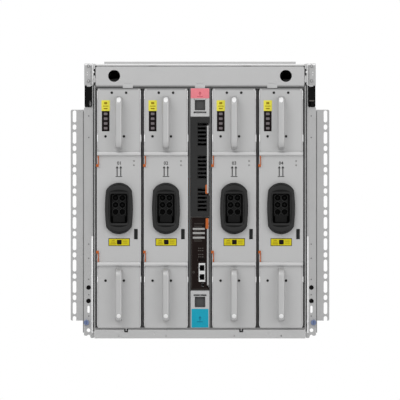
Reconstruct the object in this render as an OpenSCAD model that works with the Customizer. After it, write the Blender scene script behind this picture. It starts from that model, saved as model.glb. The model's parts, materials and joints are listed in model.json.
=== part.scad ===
// Rear-serviced blade server chassis, thirteen rack units high.
// X runs across, Y from the rear face (negative) to the tray openings (positive), Z up.

/* [Chassis] */
// Depth from the outside of the grips to the front rack flanges
overall_d = 1302; // [1150:1:1500]
// Height of the side walls
body_h = 572; // [560:1:620]
// Chassis sheet thickness
sheet_t = 1.5; // [1:0.1:2.2]
// Height of the deck that the trays and stations slide on
deck_top = 22; // [16:0.5:30]
// Rise of the middle of the top cover above its edges
lid_rise = 5; // [3:0.5:9]
// Distance of the raised middle of the top cover from the side walls
lid_margin = 19; // [10:0.5:60]
// Height of the rear edge that the top cover turns down
lid_edge_h = 4.3; // [3:0.1:8]
// Gap between the top cover's rear edge and the fascia
lid_gap = 0.8; // [0.3:0.1:3]
// Height of the top fascia
fascia_h = 39; // [30:0.5:46]
// Diameter of the round holes in the top fascia
fascia_hole_d = 25; // [10:0.5:30]
// Distance of the fascia holes from the middle
fascia_hole_x = 179; // [120:1:195]
// Depth of the flanges on the fascia and the sill
fascia_flange = 26; // [10:1:60]
// Rise of the bottom sill above the ground
sill_h = 18.6; // [12:0.1:20]

/* [Rack ears] */
// Width over both rear ears
ear_span = 484; // [478:0.5:490]
// Distance between the two rack hole lines
hole_line = 465.1; // [455:0.1:470]
// Thickness of the rack ears
ear_t = 2; // [1.5:0.1:3]
// Distance of the rear ears behind the station faces
ear_set = 6; // [3:0.5:20]
// Length of the ear leg along the side wall
ear_leg = 72; // [30:1:150]
// Bottom of the rear ears
ear_z0 = 5.4; // [4:0.1:12]
// Gap between the side walls and the faces of the rear ears
ear_seam = 2.6; // [1:0.1:4]
// Gap between the rear ears' upper parts and the fascia's lower edge
ear_gap = 0.4; // [0:0.1:2]
// Height of the black corner blocks
block_h = 45; // [30:1:60]
// Diameter of the rack holes
rack_hole_d = 7.5; // [6:0.1:9]
// Reach of the perforated flanges beyond the ears
flange_w = 27.7; // [22:0.1:36]
// Bottom of the perforated flanges
flange_z0 = 37; // [20:0.5:60]
// Distance of the flanges' tops below the corner blocks
flange_drop = 5.5; // [1:0.5:60]
// Heights of the two round ear holes and of the slot beneath them
ear_hole_z1 = 106; // [98:0.5:112]
ear_hole_z2 = 78; // [74:0.5:86]
ear_slot_z = 60.5; // [56:0.5:62]
// Height of the captive knobs
knob_z = 33; // [28:0.5:40]
// One rack unit
rack_u = 44.45; // [44.45]
// Width of the tie slots
slot_w = 7.5; // [5:0.1:9]
// Length of the long tie slots
slot_long = 25; // [18:0.5:30]
// Length of the short tie slots
slot_short = 11; // [9:0.5:13]
// Distance of the slot line from the outer edge of its flange
slot_edge = 7.9; // [6:0.1:12]

/* [Power stations] */
// Width of a power station
station_w = 92.3; // [84:0.1:96]
// Room above the power stations up to the top of the side walls
head_room = 51.4; // [49:0.1:56]
// Depth of a power station
station_d = 430; // [300:1:500]
// Gap between two stations
station_gap = 5.7; // [4:0.1:9]
// Gap between the outer station and the side wall
side_gap = 3.45; // [3:0.05:9]
// Running gap under a station
slide_gap = 0.3; // [0.3:0.05:0.8]
// Sheet thickness of a station case
case_t = 1.2; // [0.8:0.1:2]
// Amount that the middle bezel stands out beyond the case on each side
bezel_out = 2.15; // [2.15:0.05:3]
// Depth of the middle bezel
bezel_d = 18; // [8:0.5:40]
// Height of the lower panel
lower_panel_h = 129.4; // [122:0.1:140]
// Height of the upper panel
upper_panel_h = 131.9; // [124:0.1:140]
// Height of the bright lip of a lever
lip_h = 7; // [5:0.1:9]
// Reach of the lip in front of the panel
lip_reach = 6; // [4:0.1:10]
// Gap between the lip and its neighbours
lip_gap = 0.5; // [0.3:0.1:1]
// Thickness of the lever arms
arm_t = 1.5; // [1:0.1:1.6]
// Depth of the lever arms
arm_d = 15; // [10:0.5:20]
// Diameter of the lever pivots
pivot_d = 5; // [3:0.1:6]
// Radial clearance of the lever pivots
pivot_clear = 0.05; // [0.03:0.01:0.1]
// Distance of the lever pivot from the station's end
pivot_end = 12.6; // [10:0.1:20]
// Distance of the lever pivot behind the panel
pivot_back = 8; // [6:0.1:9]

/* [Grips] */
// Width of a grip
grip_w = 14.2; // [10:0.1:20]
// Thickness of a grip
grip_t = 9; // [7:0.1:12]
// Length of a grip
grip_len = 110.5; // [90:0.5:114]
// Reach of a grip in front of the panel
grip_reach = 34; // [28:0.5:45]
// Centreline radius of the grip's bends
grip_bend = 12; // [8:0.5:14]
// Distance of the upper grip from the station's top
grip_top = 16; // [14:0.5:20]
// Distance of the lower grip from the station's bottom
grip_low = 14; // [12:0.5:20]

/* [Power inlets] */
// Width of the inlet flange
inlet_w = 58; // [50:0.5:64]
// Height of the inlet flange
inlet_h = 107; // [98:0.5:115]
// Reach of the inlet in front of the panel
inlet_reach = 14; // [10:0.5:24]
// Height of the inlet's middle above the middle of its bezel
inlet_rise = 0.8; // [-10:0.1:10]
// Width of the plug recess
recess_w = 36.5; // [32:0.1:40]
// Height of the plug recess
recess_h = 62; // [58:0.1:70]
// Depth of the plug recess behind the inlet's front
recess_d = 30; // [24:0.5:44]
// Height of the contact block inside the recess
contact_h = 18; // [10:0.5:20]
// Diameter of the contact cavities
cavity_d = 12.5; // [9:0.1:13]
// Sideways pitch of the cavities
cavity_px = 14.4; // [13.4:0.1:16]
// Upright pitch of the cavities
cavity_pz = 14.7; // [13.4:0.1:16]
// Wall of the inlet sleeve behind the panel
sleeve_t = 2; // [1.2:0.1:3]

/* [Centre column] */
// Outer width of the centre column
column_w = 46.2; // [44:0.1:50]
// Gap between the column and the stations
column_gap = 1.75; // [1:0.05:3]
// Width of the column's modules
module_w = 38.8; // [36:0.1:40]
// Bottom of the management module
mgmt_z0 = 101.6; // [99:0.1:105]
// Top of the management module
mgmt_z1 = 252.6; // [248:0.1:253]
// Distance of the vented module's top below the stations' tops
vent_drop = 60; // [58:0.1:66]
// Distance of the vented module's finger tab above the module's bottom
vent_tab_rise = 48.3; // [40:0.1:60]
// Depth of the management module
mgmt_d = 360; // [200:1:400]
// Depth of the vented module
vent_d = 300; // [200:1:400]
// Height of a vent slot
vent_slot_h = 5.2; // [3:0.1:6]
// Pitch of the vent slots
vent_pitch = 8.3; // [7:0.1:9]
// Width of the vent slots
vent_slot_w = 18.4; // [12:0.1:18.4]
// Thickness of the module levers
mod_lever_t = 3.2; // [2:0.1:3.6]
// Side of the square water ports
port_w = 22; // [16:0.5:26]
// Depth of the square water ports
port_d = 24; // [10:0.5:30]
// Outer diameter of the water pipes
pipe_d = 20; // [12:0.5:22]

/* [Tray bays] */
// Number of upright tray bays
bay_n = 8; // [4:1:8]
// Reach of the guide edges on the bay dividers
guide_w = 3; // [1.5:0.1:4]
// Height of the guide edges
guide_h = 8; // [5:0.5:12]
// Distance between the station backs and the bulkhead
middle_d = 75; // [70:0.5:110]
// Thickness of the bulkhead
bulkhead_t = 2; // [1.5:0.1:3]
// Diameter of the blind-mate couplings
coupling_d = 19; // [14:0.5:24]
// Reach of the couplings into the bays
coupling_reach = 26; // [15:0.5:40]
// Distance of the couplings from the deck and from the cover
coupling_end = 38; // [28:0.5:60]
// Height and depth of the manifold tubes
manifold_s = 36; // [28:0.5:42]
// Gap between the manifold tubes and the bulkhead
manifold_gap = 3; // [2:0.5:6]
// Wall of the manifold tubes
manifold_t = 2; // [1:0.1:3]
// Thickness of the copper bus bars
bar_t = 6; // [4:0.5:10]
// Height of the copper bus bars
bar_h = 40; // [25:1:60]
// Distance between the two bus bars
bar_pitch = 92; // [70:1:120]

/* [Hidden] */
$fn = 48;
eps = 0.01;

steel = [0.72, 0.72, 0.72];
bright = [0.84, 0.84, 0.84];
seam_grey = [0.3, 0.3, 0.3];
plastic_dark = [0.13, 0.13, 0.13];
black = [0.05, 0.05, 0.05];
orange = [0.78, 0.36, 0.1];
copper = [0.78, 0.48, 0.3];
pink = [0.93, 0.48, 0.52];
cyan = [0.16, 0.6, 0.7];
blue = [0.16, 0.32, 0.7];

// Planes along the depth
face_y = -overall_d / 2 + grip_reach;
front_y = overall_d / 2;
station_back_y = face_y + station_d;
bulkhead_y = station_back_y + middle_d;
bay_y = bulkhead_y + bulkhead_t;
ear_y = face_y + ear_set;
guide_end_y = bulkhead_y - manifold_gap - manifold_s - 1;

// Places across the width
inner_x = column_w / 2 + column_gap + station_w / 2;
outer_x = inner_x + station_w + station_gap;
divider_x = (inner_x + outer_x) / 2;
side_x = outer_x + station_w / 2 + side_gap;
body_x = side_x + sheet_t;
station_x = [-outer_x, -inner_x, inner_x, outer_x];
column_in = column_w / 2 - sheet_t;
notch_x = 15;
lid_w = 2 * (side_x - lid_margin);
ear_in = body_x + ear_seam;
bay_pitch = (2 * side_x + sheet_t) / bay_n;
bay_x = [for (i = [0:bay_n - 1]) -side_x + bay_pitch * (i + 0.5) - sheet_t / 2];
slot_x = ear_span / 2 + flange_w - slot_edge;
cover_z = body_h - sheet_t;

// Heights of a station
station_h = body_h - head_room - deck_top - slide_gap;
st_z0 = deck_top + slide_gap;
st_z1 = st_z0 + station_h;
lip_lo = st_z0 + lower_panel_h;
lip_hi = st_z1 - upper_panel_h - lip_h;
bezel_lo = lip_lo + lip_h + lip_gap;
bezel_hi = lip_hi - lip_gap;
inlet_z = (bezel_lo + bezel_hi) / 2 + inlet_rise;
case_w = station_w - 2 * bezel_out;
guide_z = st_z1 + 1.4;
web_gap = 0.3;
arm_x = case_w / 2 + 0.3;
pivot_r = pivot_d / 2;
latch_w = 3.4;
latch_l = 23.5;
latch_t = 3.6;
latch_pin_r = 1;
fascia_z = body_h - lid_edge_h - fascia_h - lid_gap;
ear_z1 = fascia_z - ear_gap - block_h;
flange_z1 = ear_z1 - flange_drop;
vent_z0 = mgmt_z1 + slide_gap * 2 + sheet_t;
vent_z1 = st_z1 - vent_drop;
vent_tab_z = vent_z0 + vent_tab_rise;

// Plate drawn in the XZ plane, its near face at y0
module plate_y(y0, t) {
    translate([0, y0 + t, 0]) rotate([90, 0, 0]) linear_extrude(t) children();
}

// Profile drawn in the YZ plane, carried along X from x0
module plate_x(x0, t) {
    translate([x0, 0, 0]) rotate([90, 0, 90]) linear_extrude(t) children();
}

// Box from one corner to the other
module block(a, b) {
    translate(a) cube(b - a);
}

// Rectangle with round corners about its middle
module rrect(w, h, r) {
    square([w - 2 * r, h], center = true);
    square([w, h - 2 * r], center = true);
    for (sx = [-1, 1], sz = [-1, 1]) {
        translate([sx * (w / 2 - r), sz * (h / 2 - r)]) circle(r);
    }
}

// Upright slot with round ends
module slot2d(w, len) {
    square([w, len - w], center = true);
    for (s = [-1, 1]) translate([0, s * (len - w) / 2]) circle(w / 2);
}

module both_sides() {
    children();
    mirror([1, 0, 0]) children();
}

// ---- Shell ----

// One side wall with its outward front flange, rear hem and slide slots
module side_wall() {
    rib_n = 5;
    rib_pitch = (front_y - face_y) / (rib_n + 1);
    difference() {
        union() {
            block([side_x, face_y, 0], [body_x, front_y, body_h]);
            block([body_x - eps, front_y - ear_t, 0], [ear_span / 2, front_y, body_h]);
            for (i = [1:rib_n]) {
                block([body_x - eps, face_y + rib_pitch * i - 9, 60],
                      [body_x + 1.2, face_y + rib_pitch * i + 9, body_h - 60]);
            }
        }
        for (k = [0:3], s = [0, 1]) {
            z = rack_u * (3 * k + 1.5) + s * 15.9;
            translate([hole_line / 2, front_y - ear_t - 1, z])
                rotate([-90, 0, 0]) cylinder(d = rack_hole_d, h = ear_t + 2);
        }
        for (i = [0:rib_n - 1]) {
            translate([0, face_y + rib_pitch * (i + 0.5), body_h - 30]) plate_x(side_x - 1, sheet_t + 2)
                rotate(90) slot2d(8, 40);
        }
    }
}

// Floor: bottom plate, deck and the webs between them
module floor_pan() {
    webs = 6;
    web_pitch = (2 * side_x - sheet_t) / webs;
    d0 = face_y + fascia_flange + 1;
    d1 = front_y - fascia_flange - 1;
    block([-side_x, d0, 0], [side_x, d1, sheet_t]);
    block([-side_x, face_y + 0.4, deck_top - sheet_t], [side_x, front_y - ear_t, deck_top]);
    for (n = [0, 2]) block([station_x[n] + notch_x - 1.2, face_y + 0.4, sill_h - 3.4],
                           [station_x[n] + notch_x + 1.2, face_y + 2.5, deck_top - eps]);
    for (i = [0:webs]) {
        translate([-side_x + i * web_pitch, d0, 0]) cube([sheet_t, d1 - d0, deck_top - eps]);
    }
}

// Outline of the top cover seen from the rear, filled down to z0
module lid_outline(z0) {
    polygon([[-side_x, z0], [-side_x, body_h], [-lid_w / 2, body_h], [-lid_w / 2, body_h + lid_rise],
             [lid_w / 2, body_h + lid_rise], [lid_w / 2, body_h], [side_x, body_h], [side_x, z0]]);
}

// Top cover with a raised middle, closed at both ends, and a turned-down rear edge
module top_cover() {
    difference() {
        union() {
            plate_y(face_y, front_y - face_y) difference() {
                lid_outline(cover_z);
                translate([0, cover_z]) square([lid_w - 2 * sheet_t, 2 * lid_rise], center = true);
            }
            plate_y(face_y, sheet_t) lid_outline(body_h - lid_edge_h);
            plate_y(front_y - sheet_t, sheet_t) lid_outline(cover_z);
        }
        for (s = [-1, 1]) translate([s * 120, 0, cover_z - 5]) {
            for (y = [face_y + 60, bulkhead_y, front_y - 60]) translate([0, y, 0]) cylinder(d = 4.5, h = 20);
        }
        for (s = [-1, 1]) translate([s * divider_x * 0.82, face_y - 1, body_h - lid_edge_h])
            cube([16, 8, 1.2], center = true);
    }
}

// Top fascia: a channel across the rear with two round holes and lance tabs
module top_fascia() {
    w = 2 * side_x - 2.2;
    difference() {
        union() {
            plate_y(face_y, sheet_t) translate([0, fascia_z + fascia_h / 2]) rrect(w, fascia_h, 1.5);
            block([-w / 2, face_y + eps, fascia_z + fascia_h - sheet_t],
                  [w / 2, face_y + fascia_flange, fascia_z + fascia_h]);
            block([-w / 2, face_y + eps, fascia_z], [w / 2, face_y + fascia_flange, fascia_z + sheet_t]);
        }
        for (s = [-1, 1]) {
            translate([s * fascia_hole_x, face_y - 1, fascia_z + fascia_h / 2])
                rotate([-90, 0, 0]) cylinder(d = fascia_hole_d, h = sheet_t + 2);
            for (x = [divider_x, 14]) translate([s * x, face_y + 8, fascia_z])
                cube([14, 6, 3 * sheet_t], center = true);
            translate([s * divider_x * 0.82, face_y + 8, fascia_z + fascia_h]) cube([14, 6, 3 * sheet_t], center = true);
        }
    }
    for (s = [-1, 1]) {
        mirror([s > 0 ? 0 : 1, 0, 0]) block([w / 2 - 1.5, face_y + sheet_t, fascia_z + 6],
              [side_x, face_y + fascia_flange, fascia_z + 16]);
    }
}

// Bottom sill: a channel across the rear under the stations, with two latch notches
module bottom_sill() {
    dot_x = -23.5;
    difference() {
        union() {
            block([-side_x, face_y, 0], [side_x, face_y + sheet_t, sill_h]);
            block([-side_x, face_y + eps, 0], [side_x, face_y + fascia_flange, sheet_t]);
        }
        for (n = [0, 2]) translate([station_x[n] + notch_x, face_y - 1, sill_h])
            plate_y(0, sheet_t + 2) rrect(8, 11.6, 1.5);
        for (n = [1, 3]) translate([station_x[n] + dot_x, face_y - 1, sill_h * 0.6])
            rotate([-90, 0, 0]) cylinder(d = 6, h = 1.5);
    }
}

// Guide plate over the stations, with the webs and the guide edges under it
module rear_guides() {
    block([-side_x, face_y + sheet_t, guide_z], [side_x, guide_end_y, guide_z + sheet_t]);
    guide_webs(guide_z - web_gap);
}

// Upright webs between the outer stations, with turned feet and heads, and the guide edges at the side walls
module guide_webs(top) {
    for (s = [-1, 1]) {
        block([s * divider_x - sheet_t / 2, face_y + bezel_d / 3, deck_top],
              [s * divider_x + sheet_t / 2, guide_end_y, top]);
        for (n = [-1, 1]) {
            block([s * divider_x + n * 1.4 - 0.7, face_y + 40, deck_top], [s * divider_x + n * 1.4 + 0.7, guide_end_y, deck_top + 14]);
            block([s * divider_x + n * 1.4 - 0.7, face_y + 40, top - 12], [s * divider_x + n * 1.4 + 0.7, guide_end_y, top]);
        }
    }
    both_sides() block([side_x - 3, face_y + 40, top - 12], [side_x, guide_end_y, top]);
}

// Centre column: two walls with turned edges and the shelves under its modules
module center_column() {
    both_sides() {
        block([column_in, face_y + 1, deck_top], [column_w / 2, guide_end_y, guide_z]);
        block([module_w / 2 + 0.6, face_y + 1, deck_top + 1], [column_in + eps, face_y + 1 + sheet_t, guide_z - 1]);
    }
    for (z = [mgmt_z0 - slide_gap, mgmt_z1 + slide_gap + sheet_t, vent_z1 + slide_gap + sheet_t]) {
        block([-column_in - eps, face_y + 2, z - sheet_t], [column_in + eps, guide_end_y, z]);
    }
}

// ---- Front half ----

// Upright dividers between the tray bays, with their guide edges
module bay_dividers() {
    top = cover_z - 0.2;
    for (i = [1:bay_n - 1]) {
        x = (bay_x[i - 1] + bay_x[i]) / 2;
        block([x - sheet_t / 2, bay_y, deck_top], [x + sheet_t / 2, front_y - fascia_flange - 0.3, top]);
        for (z = [deck_top, top - guide_h]) {
            block([x - guide_w, bay_y + 10, z], [x + guide_w, front_y - fascia_flange - 4, z + guide_h]);
        }
    }
    both_sides() for (z = [deck_top, top - guide_h]) {
        block([side_x - guide_w, bay_y + 10, z], [side_x, front_y - fascia_flange - 4, z + guide_h]);
    }
}

// Cross rails at the front opening, with a notch for each tray's levers
module front_rails() {
    rail_d = fascia_flange;
    difference() {
        union() {
            block([-side_x, front_y - ear_t, 0], [side_x, front_y, deck_top]);
            block([-side_x, front_y - rail_d, 0], [side_x, front_y - ear_t + eps, sheet_t]);
            block([-side_x, front_y - ear_t, cover_z - 10], [side_x, front_y, cover_z]);
            block([-side_x, front_y - rail_d, cover_z - sheet_t - 10],
                  [side_x, front_y - ear_t + eps, cover_z - 10]);
        }
        for (x = bay_x) for (z = [deck_top, cover_z - 10]) {
            translate([x, front_y - ear_t - 1, z]) plate_y(0, ear_t + 2) rrect(16, 8, 1.5);
        }
    }
}

// Bulkhead between the stations and the trays
module bulkhead() {
    difference() {
        block([-side_x, bulkhead_y, deck_top], [side_x, bay_y, cover_z]);
        for (x = bay_x) {
            for (z = [deck_top + coupling_end, cover_z - coupling_end]) translate([x, bulkhead_y - 1, z])
                rotate([-90, 0, 0]) cylinder(d = coupling_d + 0.6, h = bulkhead_t + 2);
            for (s = [-1, 1]) translate([x, bulkhead_y - 1, bar_z(s)])
                plate_y(0, bulkhead_t + 2) rrect(20, bar_h - 4, 2);
            translate([x + 12 * sign(x), bulkhead_y - 1, bar_z(1) + 95]) plate_y(0, bulkhead_t + 2) rrect(14, 60, 2);
        }
    }
}

function bar_z(s) = (deck_top + st_z1) / 2 + s * bar_pitch / 2;

// Two copper bus bars with a blade for each tray and a clip for each station
module bus_bars() {
    y0 = bulkhead_y - 4 - bar_t;
    for (s = [-1, 1]) {
        difference() {
            block([-outer_x - 30, y0, bar_z(s) - bar_h / 2], [outer_x + 30, y0 + bar_t, bar_z(s) + bar_h / 2]);
            for (x = station_x) translate([x + 34, y0 - 1, bar_z(s)]) rotate([-90, 0, 0]) cylinder(d = 8.4, h = bar_t + 2);
        }
        for (x = bay_x) {
            block([x - 1.5, y0 + bar_t - eps, bar_z(s) - bar_h / 2 + 4], [x + 1.5, bay_y + 16, bar_z(s) + bar_h / 2 - 4]);
        }
        for (x = station_x) {
            block([x - 2, y0 - 26, bar_z(s) - bar_h / 2 + 4], [x + 2, y0 + eps, bar_z(s) + bar_h / 2 - 4]);
        }
        for (x = [-outer_x - 20, outer_x + 20]) translate([x, y0 + bar_t - eps, bar_z(s)])
            rotate([-90, 0, 0]) cylinder(d = 14, h = 4 + eps);
    }
}

// A manifold tube across the bulkhead with a stub to each coupling and a pipe to the rear
module manifold(z, pipe_z) {
    y1 = bulkhead_y - manifold_gap;
    y0 = y1 - manifold_s;
    half = side_x - 12;
    pipe_y = face_y + port_d + 8;
    difference() {
        union() {
            block([-half, y0, z - manifold_s / 2], [half, y1, z + manifold_s / 2]);
            for (x = bay_x) translate([x, y1 - eps, z]) rotate([-90, 0, 0]) cylinder(d = coupling_d, h = manifold_gap + eps);
        }
        block([-half + manifold_t, y0 + manifold_t, z - manifold_s / 2 + manifold_t],
              [half - manifold_t, y1 - manifold_t, z + manifold_s / 2 - manifold_t]);
        for (x = bay_x) translate([x, y1 - 5, z]) rotate([-90, 0, 0]) cylinder(d = coupling_d - 6, h = 12);
    }
    difference() {
        union() {
            translate([0, pipe_y, pipe_z]) rotate([-90, 0, 0]) cylinder(d = pipe_d, h = y0 + eps - pipe_y);
            translate([0, y0 - 12, pipe_z]) rotate([-90, 0, 0]) cylinder(d = pipe_d + 8, h = 12 + eps);
        }
        translate([0, pipe_y - 1, pipe_z]) rotate([-90, 0, 0]) cylinder(d = pipe_d - 4, h = y0 - pipe_y);
    }
}

supply_z = deck_top + coupling_end;
return_z = cover_z - coupling_end;
cold_pipe_z = supply_z + 8;
hot_pipe_z = vent_z1 + 26;

module supply_manifold() {
    manifold(supply_z, cold_pipe_z);
}

// The return tube lies above the guide plate, and a riser brings it down to the column
module return_manifold() {
    manifold_top();
}

module manifold_top() {
    y1 = bulkhead_y - manifold_gap;
    y0 = y1 - manifold_s;
    z = return_z;
    half = side_x - 12;
    pipe_y = face_y + port_d + 8;
    difference() {
        union() {
            block([-half, y0, z - manifold_s / 2], [half, y1, z + manifold_s / 2]);
            for (x = bay_x) translate([x, y1 - eps, z]) rotate([-90, 0, 0]) cylinder(d = coupling_d, h = manifold_gap + eps);
            translate([0, (y0 + y1) / 2 - 7, hot_pipe_z]) cylinder(d = pipe_d, h = z - hot_pipe_z);
            translate([0, (y0 + y1) / 2 - 7, hot_pipe_z]) sphere(d = pipe_d);
            translate([0, pipe_y, hot_pipe_z]) rotate([-90, 0, 0]) cylinder(d = pipe_d, h = (y0 + y1) / 2 - 7 - pipe_y);
        }
        block([-half + manifold_t, y0 + manifold_t, z - manifold_s / 2 + manifold_t],
              [half - manifold_t, y1 - manifold_t, z + manifold_s / 2 - manifold_t]);
        for (x = bay_x) translate([x, y1 - 5, z]) rotate([-90, 0, 0]) cylinder(d = coupling_d - 6, h = 12);
        translate([0, pipe_y - 1, hot_pipe_z]) rotate([-90, 0, 0]) cylinder(d = pipe_d - 4, h = (y0 + y1) / 2 - 7 - pipe_y);
    }
}

// Blind-mate couplings in every bay, one to each manifold
module couplings() {
    r = coupling_d / 2;
    for (x = bay_x, z = [supply_z, return_z]) translate([x, bulkhead_y, z]) rotate([-90, 0, 0])
        rotate_extrude() polygon([
            [r - 3, 0], [r, 0], [r, bulkhead_t + 0.2], [r + 3, bulkhead_t + 0.2], [r + 3, bulkhead_t + 5],
            [r, bulkhead_t + 5], [r, bulkhead_t + coupling_reach - 2], [r - 2, bulkhead_t + coupling_reach],
            [r - 4, bulkhead_t + coupling_reach], [r - 4, bulkhead_t + coupling_reach - 8],
            [r - 3, bulkhead_t + coupling_reach - 9]]);
}

// ---- Rear ears and flanges ----

// Right-hand rear ear: a long face with a raised inner edge and a notched foot, the upper plate
// above the corner block, and the return and leg that fix it to the side wall
module ear() {
    x1 = ear_span / 2;
    up0 = ear_z1 + block_h;
    up1 = body_h + 1.5;
    difference() {
        union() {
            plate_y(ear_y, ear_t) difference() {
                union() {
                    translate([(ear_in + x1) / 2, (ear_z0 + ear_z1) / 2]) rrect(x1 - ear_in, ear_z1 - ear_z0, 3);
                    translate([ear_in, ear_z0 + 6]) square([4, ear_z1 - ear_z0 - 6]);
                    translate([ear_in + 1.9, ear_z0 + 2.2]) rrect(8.4, 14, 3);
                    translate([ear_in, ear_z1 - 4]) square([3.2, up1 - ear_z1 + 4]);
                    translate([(ear_in + x1) / 2 + 2.4, (up0 + up1) / 2]) rrect(x1 - ear_in - 5.8, up1 - up0, 1.5);
                }
                translate([hole_line / 2 - 0.2, ear_z0 - 1]) circle(3.2);
                translate([hole_line / 2 - 0.2, 0]) square([6.4, 2 * ear_z0 - 2], center = true);
                translate([hole_line / 2, 17]) circle(d = rack_hole_d);
                translate([hole_line / 2, ear_slot_z]) slot2d(4.8, 15);
                for (z = [ear_hole_z1, ear_hole_z2]) translate([hole_line / 2, z]) circle(d = 10);
                translate([hole_line / 2 + 4.4, knob_z]) circle(r = 3 + pivot_clear);
            }
            plate_y(ear_y - 0.8, 0.8 + eps) translate([ear_in + 2, 112]) rrect(4, 206, 1.2);
            block([ear_in, ear_y + eps, ear_z0 + 8], [ear_in + ear_t, ear_y + 20, up1 - 1.5]);
            block([ear_in, ear_y + ear_t - eps, up0 + 1], [hole_line / 2, ear_y + ear_t + 1.5, up1 - 1.5]);
            block([body_x + 0.3, ear_y + 18, ear_z0 + 8], [ear_in + ear_t - eps, ear_y + 20, up1 - 1.5]);
            block([body_x + 0.3, ear_y + 18 + eps, ear_z0 + 8], [body_x + 0.3 + ear_t, ear_y + ear_leg, up1 - 1.5]);
            for (z = [up0 + 9, up1 - 6.5]) translate([hole_line / 2 + 1.5, ear_y + eps, z])
                rotate([90, 0, 0]) cylinder(d1 = 8, d2 = 6, h = 1);
        }
        for (z = [120:90:480]) translate([body_x - 1, ear_y + ear_leg - 15, z])
            rotate([0, 90, 0]) cylinder(d = 5, h = ear_t + 4);
    }
}

// Right-hand perforated flange: long and short tie slots repeat every rack unit
module flange() {
    x0 = hole_line / 2 - 7;
    x1 = ear_span / 2 + flange_w;
    top = flange_z1 - slot_long / 2 - 1.5;
    n = floor((flange_z1 - flange_z0) / rack_u);
    plate_y(ear_y + ear_t, ear_t) difference() {
        union() {
            translate([(x0 + x1) / 2, (flange_z0 + flange_z1) / 2]) rrect(x1 - x0, flange_z1 - flange_z0, 3);
            translate([x0, flange_z0]) square([10, flange_z1 - flange_z0]);
        }
        for (i = [0:n]) {
            z = top - i * rack_u;
            if (z > flange_z0 + slot_long / 2) translate([slot_x, z]) slot2d(slot_w, slot_long);
            if (z - rack_u / 2 > flange_z0 - slot_short / 2)
                translate([slot_x, z - rack_u / 2]) slot2d(slot_w, slot_short);
        }
        translate([hole_line / 2, ear_slot_z]) slot2d(4.8, 15);
        for (z = [ear_hole_z1, ear_hole_z2]) translate([hole_line / 2, z]) circle(d = 10);
    }
}

// Black corner blocks beside the upper ears and the dark plugs behind the ear holes
module black_trim() {
    x0 = ear_in + 3.5;
    x1 = ear_span / 2 - 1.6;
    both_sides() {
        difference() {
            plate_y(ear_y - 3, 30) translate([(x0 + x1) / 2, ear_z1 + block_h / 2])
                rrect(x1 - x0 - 0.6, block_h - 0.4, 0.8);
            plate_y(ear_y - 4, 8) translate([x0 + 1, ear_z1 + 1]) square([4, 12.5]);
        }
        for (z = [ear_hole_z1, ear_hole_z2]) translate([hole_line / 2, ear_y + ear_t, z])
            rotate([-90, 0, 0]) cylinder(d = 9.8, h = 5);
    }
}

// ---- Centre column blocks ----

// Water block with a label pad, a square port and a latch slot; up is 1 with the pad on top
module water_block(z0, z1, up, port_z, slot_z) {
    w = module_w + 0.4;
    difference() {
        union() {
            plate_y(face_y, 32) translate([0, (z0 + z1) / 2]) rrect(w, z1 - z0, 1.5);
        }
        block([-port_w / 2, face_y - 1, port_z - port_w / 2], [port_w / 2, face_y + port_d, port_z + port_w / 2]);
        plate_y(face_y - 1, 9) translate([0, slot_z]) rrect(27, 4, 1);
        translate([0, face_y + port_d - 1, port_z]) rotate([-90, 0, 0]) cylinder(d = pipe_d - 4, h = 20);
    }
}

module hot_block() {
    water_block(vent_z1 + slide_gap * 2 + sheet_t, guide_z - 0.3, 1, hot_pipe_z, vent_z1 + 10.5);
}

module cold_block() {
    water_block(deck_top + 0.2, mgmt_z0 - slide_gap * 2 - sheet_t, -1, cold_pipe_z + 8, mgmt_z0 - 11.6);
}

// Open-fronted sheet tub of a column module, vented at the back
module tub(w, z0, z1, d, t) {
    difference() {
        block([-w / 2, face_y + 3, z0], [w / 2, face_y + d, z1]);
        block([-w / 2 + t, face_y + 2, z0 + t], [w / 2 - t, face_y + d - t, z1 - t]);
        for (z = [z0 + 15:9:z1 - 15]) translate([0, face_y + d - t / 2, z]) cube([w - 14, t + 2, 4], center = true);
    }
}

module vent_module() {
    tub(module_w, vent_z0, vent_z1, vent_d, 1);
}

// Dark moulded face with three groups of six vent slots and a lever channel
module vent_face() {
    z0 = vent_z0;
    groups = [for (k = [0.1666, 0.4968, 0.8295]) z0 + k * (vent_z1 - z0)];
    difference() {
        union() {
            plate_y(face_y, 3) translate([0, (z0 + vent_z1) / 2]) rrect(module_w, vent_z1 - z0, 1);
            block([-module_w / 2 + 1.2, face_y + 2.9, z0 + 1.2], [module_w / 2 - 1.2, face_y + 16, vent_z1 - 1.2]);
        }
        for (g = groups) {
            translate([4.6, face_y - 1, g]) plate_y(0, 2.5) rrect(vent_slot_w + 2, 6 * vent_pitch + 1, 1);
            for (k = [-2.5:1:2.5]) translate([4.6, face_y + 8, g + k * vent_pitch])
                cube([vent_slot_w, 20, vent_slot_h], center = true);
        }
        block([module_w / 2 - 1.2 - mod_lever_t - 0.8, face_y - 1, vent_tab_z - 5], [module_w / 2 + 1, face_y + 12, vent_z1 - 12]);
        block([-module_w / 2 + 4, face_y + 5, z0 + 4], [-6.5, face_y + 20, vent_z1 - 4]);
    }
    translate([module_w / 2 - 1.2 - mod_lever_t - 0.8 - eps, face_y + 6, vent_z1 - 20])
        rotate([0, 90, 0]) cylinder(r = 2, h = mod_lever_t + 0.6);
}

// Slim lever in the right-hand channel: pivot end, kinked arm and finger tab above or below the pivot
module mod_lever(pivot_z, dir, len) {
    x0 = module_w / 2 - 1.2 - mod_lever_t - 0.4;
    translate([0, face_y + 6, pivot_z]) mirror([0, 0, dir > 0 ? 0 : 1]) difference() {
        plate_x(x0, mod_lever_t) union() {
            circle(5);
            polygon([[-5, 0], [5, 0], [2, 22], [-2, len - 22], [-6.5, len],
                     [-8.5, len], [-8.5, len - 20], [-5, 24]]);
        }
        translate([x0 - 1, 0, 0]) rotate([0, 90, 0]) cylinder(r = 2 + pivot_clear, h = mod_lever_t + 2);
    }
}

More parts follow.
